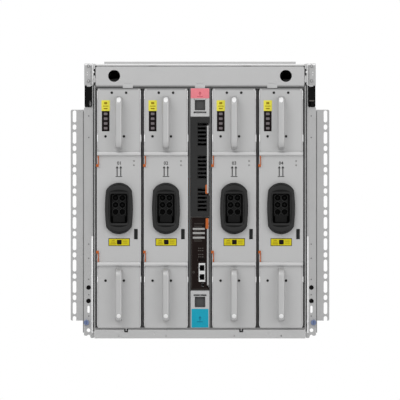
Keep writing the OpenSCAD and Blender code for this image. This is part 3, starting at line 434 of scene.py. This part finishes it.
def inletShell(x, zMid, y0):
    # moulded inlet rim as a function of turn and reach: the outline's distance from the middle is blended
    # into the recess's, a rounded rectangle, while the height follows a shoulder that falls to the mouth
    half, tall, side, shoulder, mouthHalf, mouthTall, power = inletSize.values()
    t = np.linspace(0, 2 * math.pi, 144, endpoint=False)
    c, s = np.cos(t), np.sin(t)

    def toCircle(cx, cz, r):
        b = cx * c + cz * s
        return b + np.sqrt(np.maximum(b * b - (cx * cx + cz * cz - r * r), 0))

    sideR = (shoulder ** 2 + (half - side) ** 2) / (2 * (half - side))
    domeR = (side ** 2 + (tall - shoulder) ** 2) / (2 * (tall - shoulder))
    sides = np.minimum(toCircle(half - sideR, 0, sideR), toCircle(sideR - half, 0, sideR))
    dome = toCircle(0, tall - domeR, domeR) * (s > 0) + toCircle(0, domeR - tall, domeR) * (s <= 0)
    band = shoulder / np.maximum(np.abs(s), 1e-6)
    outer = np.minimum(sides, np.maximum(band, dome))
    inner = ((np.abs(c) / mouthHalf) ** power + (np.abs(s) / mouthTall) ** power) ** (-1 / power)
    steps = [(0.0, -0.1), (0.0, -9.4), (0.02, -10.6), (0.07, -12.4), (0.15, -13.6), (0.27, -14.25), (0.5, -14.35),
             (0.62, -14.1), (0.72, -13.2), (0.8, -11.6), (0.9, -10.9), (0.97, -10.6), (1.0, -10.2), (1.0, -4.0)]
    reach = np.array([p[0] for p in steps])[:, None]
    height = np.array([p[1] for p in steps])[:, None]
    r = outer + (inner - outer) * reach
    return np.stack([x + r * c, np.repeat(y0 + height, len(t), 1), zMid + r * s], -1)


def openSkin(rings):
    # skin through a stack of rings without caps, closed on itself through its first and last ring
    rows, cols = rings.shape[:2]
    faces = gridQuads(rows, cols).tolist()
    last = (rows - 1) * cols
    faces += [[last + j, last + (j + 1) % cols, (j + 1) % cols, j] for j in range(cols)]
    return outward(rings.reshape(-1, 3), faces)


for n in stations:
    x0, body = stationX[n], f"station{n}"
    tag = f"station{n}_"
    m = stationMarks
    heads = [screwHead(x0 + dx, z, faceY, m["screwRadius"])[0] for dx, z in m["screws"]]
    piece(tag + "screws", heads, screwBlack, body)

    lx, lz, lw, lh = m["upperLabel"]
    piece(tag + "upper_label", [plate(x0 + lx, lz, lw, lh, 1.2, faceY, faceY - 0.35, 0.15)], lemonFilm, body)
    bars = [plate(x0 + lx, lz + dz, wide, high, r, faceY - 0.3, faceY - 0.45, 0.05)
            for dz, wide, high, r in m["upperBars"]]
    piece(tag + "upper_label_marks", bars, amberInk, body)

    bx, bz, bw, bh = m["blackLabel"]
    piece(tag + "black_label", [plate(x0 + bx, bz, bw, bh, 0.8, faceY, faceY - 0.35, 0.15)], blackFilm, body)
    k = m["blackBlocks"]
    blocks = [plate(x0 + bx, bz + bh / 2 - k["first"] - i * k["pitch"], *k["size"], 0.8, faceY - 0.3, faceY - 0.45,
                    0.05) for i in range(k["count"])]
    piece(tag + "black_label_marks", blocks, greyInk, body)

    gx, gz, gw, gh = m["lowerLabel"]
    piece(tag + "lower_label_edge", [plate(x0 + gx, gz, gw, gh, 1.0, faceY, faceY - 0.3, 0.1)], blackFilm, body)
    piece(tag + "lower_label", [plate(x0 + gx, gz, gw - 2.4, gh - 2.4, 0.6, faceY - 0.25, faceY - 0.4, 0.05)],
          yellowFilm, body)
    marks = [plate(x0 + gx + dx, gz + dz, wide, high, 0.3, faceY - 0.35, faceY - 0.5, 0.04)
             for dx, dz, wide, high in m["lowerBars"]]
    piece(tag + "lower_label_marks", marks, amberInk, body)
    blockX, blockSize = m["lowerBlock"]
    piece(tag + "lower_label_block", [plate(x0 + gx + blockX, gz, blockSize, blockSize, 1.6, faceY - 0.35, faceY - 0.5, 0.04)],
          blackFilm, body)

    ax, az, ah = m["arrows"]
    signs = [arrowUp(x0 + ax - 3.8, az + 1.2, ah, faceY), arrowUp(x0 + ax + 3.8, az + 1.2, ah, faceY),
             plate(x0 + ax, az, 14.0, 1.5, 0.2, faceY, faceY - 0.2, 0.05)]
    nx, nz, size = m["number"]
    signs.append(figure(f"{n:02d}", x0 + nx, nz, size, faceY - 0.2))
    piece(tag + "signs", signs, darkInk, body)

    lamps = [turned(x0 + dx, z, [(1.9, faceY), (1.9, faceY - 0.3), (1.5, faceY - 0.6), (0.6, faceY - 0.75)], 16)
             for dx, z in m["lights"]]
    piece(tag + "lights", lamps, lampGrey, body)
    wx, wz, ww, wh = m["window"]
    piece(tag + "window", [plate(x0 + wx, wz, ww, wh, 0.7, faceY + 2.0, faceY + 0.5, 0.3)], windowDark, body)

    zMid = (spot(tag + "inlet")[0][2] + spot(tag + "inlet")[1][2]) / 2
    shell = openSkin(inletShell(x0, zMid, faceY))
    piece(tag + "inlet_rim", [shell], inletPlastic, body, 50)
    rims = []
    hole, p = m["cavity"], np.array(m["cavityRim"])
    t = np.linspace(0, 2 * math.pi, 25)[:-1]
    for sx in (-1, 1):
        for row in (-1, 0, 1):
            cx, cz = x0 + sx * hole["x"], zMid + hole["z"] + row * hole["pitch"]
            rings = np.stack([cx + p[:, :1] * np.cos(t), np.repeat(faceY - hole["deep"] + p[:, 1:], len(t), 1),
                              cz + p[:, :1] * np.sin(t)], -1)
            rims.append(openSkin(rings))
    piece(tag + "cavity_rims", rims, ringPlastic, body)
print("station details in place")


# ---------- centre column ----------

columnPads = {"pinkLow": 500.6, "cyanHigh": 61.6, "width": 38.6, "cyanWidth": 35.2}
hotHigh = spot("hot_block")[1]
coldLow = spot("cold_block")[0]
w = columnPads["width"]
pinkMid = (columnPads["pinkLow"] + hotHigh[2] - 0.4) / 2
piece("hot_label", [plate(0, pinkMid, w, hotHigh[2] - 0.4 - columnPads["pinkLow"], 1.6, faceY, faceY - 0.8, 0.3)],
      pinkFilm, "chassis")
piece("hot_label_mark",
      [arrowUp(0, pinkMid - 4.5, 9, faceY - 0.75),
       plate(0, pinkMid - 6.6, 12, 1.4, 0.3, faceY - 0.75, faceY - 0.95, 0.05)],
      pinkInk, "chassis")
cyanMid = (columnPads["cyanHigh"] + coldLow[2] + 0.4) / 2
w = columnPads["cyanWidth"]
piece("cold_label_border",
      [plate(0, cyanMid, w + 1.8, columnPads["cyanHigh"] - coldLow[2] + 0.6, 1.8, faceY, faceY - 0.5, 0.2)],
      borderPale, "chassis")
piece("cold_label", [plate(0, cyanMid, w, columnPads["cyanHigh"] - coldLow[2] - 0.4, 1.6, faceY, faceY - 0.8, 0.3)],
      cyanFilm, "chassis")
piece("cold_label_mark",
      [arrowUp(0, cyanMid - 5, 10, faceY - 0.75),
       plate(0, cyanMid - 7.4, 12, 1.6, 0.3, faceY - 0.75, faceY - 0.95, 0.05)],
      cyanInk, "chassis")


def portLining(zPort, half, depth):
    # square socket as a cup: rounded square rings from behind its floor, round the mouth and back in to the floor
    rings = []
    for size, y in [(half, depth + 0.8), (half, -0.2), (half - 0.4, -0.5), (half - 1.0, -0.2), (half - 1.3, 1.4),
                    (half - 1.5, depth)]:
        o = roundRect(2 * size, 2 * size, 1.4, 4)
        rings.append(np.stack([o[:, 0], np.full(len(o), faceY + y), zPort + o[:, 1]], -1))
    return np.array(rings)


portSize = {"half": 10.8, "depth": 4.5}
for label, block, low in (("hot", "hot_block", 1), ("cold", "cold_block", -1)):
    zPort = {"hot": 486.6, "cold": 76.0}[label]
    rings = portLining(zPort, portSize["half"], portSize["depth"])
    piece(label + "_port_lining", [skin(rings)], portPlastic, "chassis")

print("column labels and ports in place")

# ---------- small parts laid on the rear surfaces ----------

bpy.context.view_layer.update()
surfaceTrees = {}


def surfaceY(names, x, z, missing):
    # where a line along Y from the rear first meets one of the nodes, in millimetres
    found = []
    for name in names:
        if name not in surfaceTrees:
            obj = nodes[name]
            v = np.zeros(len(obj.data.vertices) * 3)
            obj.data.vertices.foreach_get("co", v)
            m = np.array(obj.matrix_world)
            v = v.reshape(-1, 3) @ m[:3, :3].T + m[:3, 3]
            surfaceTrees[name] = BVHTree.FromPolygons(v.tolist(), [tuple(p.vertices) for p in obj.data.polygons])
        hit = surfaceTrees[name].ray_cast((x * mm, -2.0, z * mm), (0, 1, 0))[0]
        if hit is not None:
            found.append(hit[1] / mm)
    return min(found) if found else missing


def laid(names, x0, x1, z0, z1, thick=0.3, edge=0.1, r=0.4, missing=faceY):
    # flat bar lying on the nodes' rear surface
    y = surfaceY(names, (x0 + x1) / 2, (z0 + z1) / 2, missing)
    return strip(x0, x1, z0, z1, y + 0.1, y - thick, edge, r)


def dot(names, x, z, r, thick=0.3, missing=faceY):
    # low disc with an eased rim
    y = surfaceY(names, x, z, missing)
    return turned(x, z, [(r, y + 0.1), (r, y - thick * 0.6), (r * 0.8, y - thick)], 16)


def frameBars(names, x0, x1, z0, z1, w, thick=0.25, missing=faceY):
    # four bars round a rectangle
    return [laid(names, x0, x1, z1 - w, z1, thick, 0.06, 0.2, missing),
            laid(names, x0, x1, z0, z0 + w, thick, 0.06, 0.2, missing),
            laid(names, x0, x0 + w, z0 + w, z1 - w, thick, 0.06, 0.2, missing),
            laid(names, x1 - w, x1, z0 + w, z1 - w, thick, 0.06, 0.2, missing)]


def ribbon(names, x0, x1, z0, z1, thick=0.1, count=14):
    # thin band that follows the rear surface: a flat section carried from z0 to z1, its depth read from the surface
    levels = np.linspace(z0, z1, count)
    depth = np.array([surfaceY(names, (x0 + x1) / 2, z, faceY) for z in levels])
    across = np.array([x0, x1, x1, x0])
    lift = np.array([0.1, 0.1, -thick, -thick])
    return skin(np.stack([np.tile(across, (count, 1)), depth[:, None] + lift, np.repeat(levels[:, None], 4, 1)], -1))


def patch(names, x, z, rx, rz, thick=0.1):
    # oval film on a rounded surface: ovals that shrink towards the middle, each point's depth read from the surface
    t = np.linspace(0, 2 * math.pi, 24, endpoint=False)
    rings = []
    for reach, lift in ((1.0, 0.15), (1.0, -0.02), (0.8, -thick), (0.5, -thick), (0.15, -thick)):
        px, pz = x + rx * reach * np.cos(t), z + rz * reach * np.sin(t)
        rings.append([(a, surfaceY(names, a, b, faceY) + lift, b) for a, b in zip(px, pz)])
    return skin(np.array(rings))


headMarks = {"edgeHighlight": (570.2, 572.2), "tabs": [-150.5, 0.0, 150.5], "tabHalf": 10.5, "tabZ": (521.9, 528.6),
             "lanceHalf": 7, "lanceZ": (531.4, 533.8), "band": (525.2, 527.8), "dark": (522.2, 525.2),
             "line": (521.1, 522.2), "spans": [(-217.0, -161.0), (-140.0, -10.5), (10.5, 140.0), (161.0, 217.0)]}
h = headMarks
# painted highlight: a near-white bar along the lid's rear edge
piece("lid_edge_highlight", [laid(["top_cover"], -sideX + 1, sideX - 1, *h["edgeHighlight"], 0.6, 0.5, 0.9)],
      paleSteelAndHighlight, "chassis")
tabs = [strip(x - h["tabHalf"], x + h["tabHalf"], *h["tabZ"], faceY + 1.4, faceY - 0.1, 0.2, 0.8) for x in h["tabs"]]
piece("fascia_tabs", tabs, panelSteel, "chassis")
lances = [strip(x - h["lanceHalf"], x + h["lanceHalf"], *h["lanceZ"], faceY + 0.3, faceY - 0.7, 0.6, 1.1)
          for x in h["tabs"]]
piece("fascia_lances", lances, panelSteel, "chassis")
# the dark bar under the fascia is painted shade in the gap there
for name, level, depth, material, slotName in (("fascia_lip", "band", (2.6, 0.1), bandGrey, "sheet_steel"),
                                               ("fascia_gap_shade", "dark", (3.4, 2.0), seamShade, "black_plastic"),
                                               ("fascia_line", "line", (2.6, 1.0), lineGreyAndShade, "sheet_steel")):
    bars = [strip(a, b, *h[level], faceY + depth[0], faceY + depth[1], 0.2, 0.4) for a, b in h["spans"]]
    piece(name, bars, material, "chassis")

cornerMarks = {"fill": (219.6, 222.5, 529, 572.5), "dash": (218.9, 221.7), "dashZ": [(548, 562), (527, 534)],
               "screw": (221.9, 555.4, 1.8), "darkScrew": (217, 567, 1.6)}
k = cornerMarks
piece("corner_fill", mirrored([strip(*k["fill"], faceY + 2.0, faceY + 0.1, 0.2, 0.3)]),
      panelSteel, "chassis")
dashes = [strip(*k["dash"], low, high, faceY + 1.5, faceY - 0.15, 0.15, 0.6) for low, high in k["dashZ"]]
piece("corner_dashes", mirrored(dashes), blackPlastic, "chassis")
x, z, r = k["screw"]
piece("corner_screws", mirrored([turned(x, z, [(r, faceY + 0.6), (r, faceY - 0.5), (r - 0.5, faceY - 1.0)], 16)]),
      paleSteelAndHighlight, "chassis")
x, z, r = k["darkScrew"]
piece("corner_dark_screws", mirrored(screwHead(x, z, surfaceY(["top_cover", "top_fascia"], x, z, faceY), r)),
      screwBlack, "chassis")

seamMarks = {"ear": (220.35, 222.5), "wall": (215.45, 218.5), "z": (24.0, 519.5)}  # dark bars sunk in the side gaps, painted shade standing in for the gaps' depth
seamShades = [strip(*seamMarks["ear"], *seamMarks["z"], faceY + 6, faceY + 3, 0.3, 0.4),
         strip(*seamMarks["wall"], *seamMarks["z"], faceY + 9, faceY + 7, 0.3, 0.4)]
piece("side_seam_shades", mirrored(seamShades), seamShade, "chassis")
print("head details in place")

earNodes = ["ear_right", "flange_right"]
earMarks = {"bright": [(222.9, 226.5, 11, 213), (222.9, 225.2, 528, 572)], "edgeShadow": (242.4, 244.2, 12, 474),
            "dimpleX": 232.0, "dimples": [463.9, 419, 196.5, 167, 123, 91, 46.5], "ringX": 232.6, "rings": [568, 537],
            "dotX": 235.2, "dots": [555, 549.6], "nut": (224.6, 35, 2.5), "wing": (219.2, 240.8, 569.6, 572.9)}
e = earMarks
# painted highlights: near-white bars on the ears' bent inner edges and upper strip
piece("ear_edge_highlights", mirrored([laid(["ear_right"], *box, 0.15, 0.05, 0.3, earY) for box in e["bright"]]),
      paleSteelAndHighlight, "chassis")
# painted shadow: a grey line on the flange where the ear's outer edge shades it
piece("ear_edge_shadows", mirrored([laid(earNodes, *e["edgeShadow"], 0.12, 0.04, 0.2, earY)]),
      lineGreyAndShade, "chassis")
# the dimples are grey discs, painted shade standing in for their hollows
for name, x, levels, r, thick, material in (("ear_dimple_shades", e["dimpleX"], e["dimples"], 1.5, 0.15, lineGreyAndShade),
                                            ("ear_rings", e["ringX"], e["rings"], 3.2, 0.5, lineGreyAndShade),
                                            ("ear_ring_tops", e["ringX"], e["rings"], 2.2, 0.8, earSteel),
                                            ("ear_dots", e["dotX"], e["dots"], 1.0, 0.3, paleSteelAndHighlight)):
    piece(name, mirrored([dot(earNodes, x, z, r, thick, earY) for z in levels]), material, "chassis")
x, z, r = e["nut"]
nut = [(r, earY + 0.3), (r, earY - 1.0), (r - 0.5, earY - 1.3), (r - 1.4, earY - 1.3), (r - 1.6, earY - 0.4)]
piece("ear_nuts", mirrored([turned(x, z, nut, 18)]), paleSteelAndHighlight, "chassis")

blockMarks = {"tab": (227.5, 236.2, 524.8, 529.0), "sides": [(225.2, 226.6), (238.8, 240.8)], "z": (483.6, 527.6),
              "bar": (228, 238.4, 494.4, 496.8), "leftTab": (-231.6, -227.2, 483.8, 496)}
b = blockMarks
piece("block_tabs", mirrored([strip(*b["tab"], earY + 0.6, blockY - 0.3, 0.2, 1.8)]), earSteel, "chassis")
sides = [strip(*x, *b["z"], earY + 0.4, blockY + 0.2, 0.2, 0.4) for x in b["sides"]]
piece("block_sides", mirrored(sides), blackPlastic, "chassis")
piece("block_bar", [laid(["black_trim"], *b["bar"], 0.2)], dimInk, "chassis")
piece("block_tab_left", [laid(["black_trim"], *b["leftTab"], 0.3, 0.1, 0.8, earY)], earSteel, "chassis")
# painted highlight: near-white bars carrying the lid edge's highlight over the ears
piece("lid_wing_highlights", mirrored([strip(*e["wing"], earY + 1.5, earY - 0.3, 0.3, 0.6)]), paleSteelAndHighlight, "chassis")
print("ear details in place")

mgmtMarks = {"frame": (-17.6, 17.6, 102.5, 253.0), "barX": (-15, 10), "bars": [228.4, 219.6, 210.1],
             "lines": [(239, -12, 8), (234, -12, 4), (224.2, -13, 2), (215.4, -13, 3), (205.8, -13, 2),
                       (203, -13, 4)],
             "groups": [188, 183, 175, 170], "groupX": [(-4, -1), (0.4, 2.6), (4, 7)],
             "dotX": -4.2, "dots": [155, 148, 138, 130, 122], "outline": (-5.6, 8.3, 161, 166), "ring": (-13.2, 138),
             "jacks": (-2.5, 10.6, 118.6, 156.4), "jackBar": (-1.6, 9.7, 136.6, 138.4),
             "holeShades": [(-1.0, 9.1, 120.6, 135.6), (-1.0, 9.1, 139.4, 154.4)],
             "socket": (3.5, 9.0, 107, 116), "socketWell": (4.6, 7.9, 108.6, 114.4)}
c = mgmtMarks
face, jack = ["mgmt_face"], ["mgmt_jacks", "mgmt_face"]
piece("mgmt_frame", frameBars(face, *c["frame"], 0.6), dimInk, "mgmt_unit")
piece("mgmt_bars", [laid(face, *c["barX"], z - 2.0, z + 2.0) for z in c["bars"]], barPale, "mgmt_unit")
marks = [laid(face, x0, x1, z - 0.45, z + 0.45, 0.2, 0.05, 0.2) for z, x0, x1 in c["lines"]]
marks += [laid(face, *x, z - 0.8, z + 0.8, 0.2, 0.05, 0.3) for z in c["groups"] for x in c["groupX"]]
marks += [dot(face, c["dotX"], z, 0.8, 0.2) for z in c["dots"]]
marks += frameBars(face, *c["outline"], 0.4, 0.2)
piece("mgmt_marks", marks, dimInk, "mgmt_unit")
piece("mgmt_ring", [dot(face, *c["ring"], 2.2, 0.25)], dimInk, "mgmt_unit")
piece("mgmt_ring_middle", [dot(face, *c["ring"], 1.5, 0.35)], blackFace, "mgmt_unit")
shell = frameBars(jack, *c["jacks"], 0.9, 0.4) + [laid(jack, *c["jackBar"], 0.3)]
piece("mgmt_jack_frame", shell + [laid(face, *c["socket"], 0.5, 0.2, 0.6)], jackSteel, "mgmt_unit")
x0, x1, z0, z1 = c["socketWell"]
socketY = surfaceY(face, (x0 + x1) / 2, (z0 + z1) / 2, faceY)
# painted shade: near-black films laid on the jack block where its openings are
holeShades = [laid(jack, *well, 0.2) for well in c["holeShades"]] + [strip(*c["socketWell"], socketY, socketY - 0.6, 0.1, 0.4)]
piece("mgmt_jack_hole_shades", holeShades, holeShade, "mgmt_unit")

tipMarks = {"vent_lever": (11.2, 16.8, 301.5, 320.5), "mgmt_lever": (11.8, 17.6, 228.5, 250.5)}
for lever, box in tipMarks.items():
    piece(lever + "_tip", [laid([lever], *box, 0.5, 0.2, 1.2)], orangePlastic, lever + "_body")

portMarks = {"hotBar": (-13.5, 13.5, 471.2, 473.8), "hotDots": (12, 498.7),
             "coldDashes": [(-13, -1.2, 89.3, 90.9), (1.9, 13.3, 89.3, 90.9)]}
x, z = portMarks["hotDots"]
hotMarks = [laid(["hot_block"], *portMarks["hotBar"], 0.25)] + [dot(["hot_block"], sx * x, z, 0.9,
        0.25) for sx in (-1, 1)]
piece("hot_block_bar", hotMarks, darkInk, "chassis")
coldMarks = [laid(["cold_block"], *box, 0.25) for box in portMarks["coldDashes"]]
piece("cold_block_dashes", coldMarks, darkInk, "chassis")
print("column details in place")

edgeMarks = {"head": (40, 517.7, 520.3), "glints": [(497.5, 6.0), (47.0, 4.6)], "glintHalf": 4.6, "figureZ": 5.6,
             "figureSize": 5.6, "sides": [(-45.7, -43.6), (44.6, 46.5)], "arms": [(-45.7, -44.4), (44.4, 45.7)],
             "armZ": (499, 517.5), "upper": (410, 425), "lower": (117, 129), "deepest": 6}
g = edgeMarks
for n in stations:
    x0, body = stationX[n], f"station{n}"
    tag = f"station{n}_"
    half, low, high = g["head"]
    piece(tag + "head_strip", [laid([tag + "case"], x0 - half, x0 + half, low, high, 0.2, 0.06, 0.3)],
          bandGrey, body)
    sillY = surfaceY(["bottom_sill"], x0, g["figureZ"], faceY)
    piece(f"sill_figure_{n}", [figure(str(n), x0, g["figureZ"], g["figureSize"], sillY, 0.2)],
          lineGreyAndShade, "chassis")
    # painted highlights: near-white ovals laid on the grips' bent ends
    glints = [patch([tag + "grips"], x0, z, g["glintHalf"], rz) for z, rz in g["glints"]]
    piece(tag + "grip_glints", glints, paleSteelAndHighlight, body, 50)
    for part in ("upper", "lower"):
        lever = tag + "lever_" + part
        low, high = g[part]
        edges = []
        for a, b in g["sides"]:  # painted highlights on the arms' edges
            y = surfaceY([lever], x0 + (a + b) / 2, (low + high) / 2, None)
            if y is not None and y < faceY + g["deepest"]:
                edges.append(strip(x0 + a, x0 + b, low, high, y + 0.1, y - 0.2, 0.08, 0.5))
        # the near-white ribbons on the upper arms are painted highlights too
        if part == "upper":
            edges += [ribbon([lever], x0 + a, x0 + b, *g["armZ"]) for a, b in g["arms"]]
        if edges:
            piece(lever + "_edge_highlights", edges, paleSteelAndHighlight, lever + "_body")
print("station edges in place")

# ---------- camera, light, floor ----------

view = {"distance": 12.0, "width": 0.834, "aimX": 0.0, "aimZ": 0.2886}
cameraData = bpy.data.cameras.new("camera")
cameraData.sensor_width = 36
cameraData.lens = 36 * view["distance"] / view["width"]
cameraData.clip_end = 100
camera = bpy.data.objects.new("camera", cameraData)
camera.location = (view["aimX"], faceY * mm - view["distance"], view["aimZ"])
camera.rotation_euler = (math.pi / 2, 0, 0)
bpy.context.scene.collection.objects.link(camera)
bpy.context.scene.camera = camera

floorMesh = bpy.data.meshes.new("floor")
floorMesh.from_pydata([(-8, -8, 0), (8, -8, 0), (8, 8, 0), (-8, 8, 0)], [], [(0, 1, 2, 3)])
floor = bpy.data.objects.new("floor", floorMesh)
bpy.context.scene.collection.objects.link(floor)


def seenWhite(tree):
    # one where a ray from the camera, a gloss or a glass arrives
    path = tree.nodes.new("ShaderNodeLightPath")
    total = path.outputs["Is Camera Ray"]
    for other in ("Is Glossy Ray", "Is Transmission Ray"):
        join = tree.nodes.new("ShaderNodeMath")
        join.operation = "MAXIMUM"
        tree.links.new(total, join.inputs[0])
        tree.links.new(path.outputs[other], join.inputs[1])
        total = join.outputs["Value"]
    return total


floorMaterial, tree, shader = newMaterial("floorMaterial")
shader.inputs["Base Color"].default_value = (0.8, 0.8, 0.8, 1)
shader.inputs["Roughness"].default_value = 0.9
glow = tree.nodes.new("ShaderNodeEmission")
glow.inputs["Color"].default_value = (1, 1, 1, 1)
mixer = tree.nodes.new("ShaderNodeMixShader")
share = tree.nodes.new("ShaderNodeMath")
share.operation = "MULTIPLY"
share.inputs[1].default_value = 1.0
tree.links.new(seenWhite(tree), share.inputs[0])
tree.links.new(share.outputs["Value"], mixer.inputs["Fac"])
tree.links.new(shader.outputs["BSDF"], mixer.inputs[1])
tree.links.new(glow.outputs["Emission"], mixer.inputs[2])
tree.links.new(mixer.outputs["Shader"], tree.nodes["Material Output"].inputs["Surface"])
floorMesh.materials.append(floorMaterial)

world = bpy.data.worlds.new("world")
bpy.context.scene.world = world
world.use_nodes = True
tree = world.node_tree
backdrop = tree.nodes["Background"]
level = tree.nodes.new("ShaderNodeMapRange")
level.inputs["To Min"].default_value = 0.62
level.inputs["To Max"].default_value = 1.0
tree.links.new(seenWhite(tree), level.inputs["Value"])
tree.links.new(level.outputs["Result"], backdrop.inputs["Strength"])
backdrop.inputs["Color"].default_value = (1, 1, 1, 1)

lamps = {"key": ((-1.6, -4.2, 3.0), 2.2, 46), "fill": ((2.4, -4.6, 0.4), 2.6, 28), "back": ((1.5, 4.0, 3.0), 2.5, 40)}
for lampName, (place, size, power) in lamps.items():
    lampData = bpy.data.lights.new(lampName, "AREA")
    lampData.size = size
    lampData.energy = power
    lamp = bpy.data.objects.new(lampName, lampData)
    lamp.location = place
    aim = np.array([0, faceY * mm if place[1] < 0 else 0, 0.29]) - np.array(place)
    yaw = math.atan2(aim[0], -aim[1])
    pitch = math.acos(-aim[2] / np.linalg.norm(aim))
    lamp.rotation_euler = (pitch, 0, math.atan2(-aim[0], aim[1]))
    bpy.context.scene.collection.objects.link(lamp)
bpy.context.scene.view_settings.view_transform = "Standard"
print("camera, light and floor set")
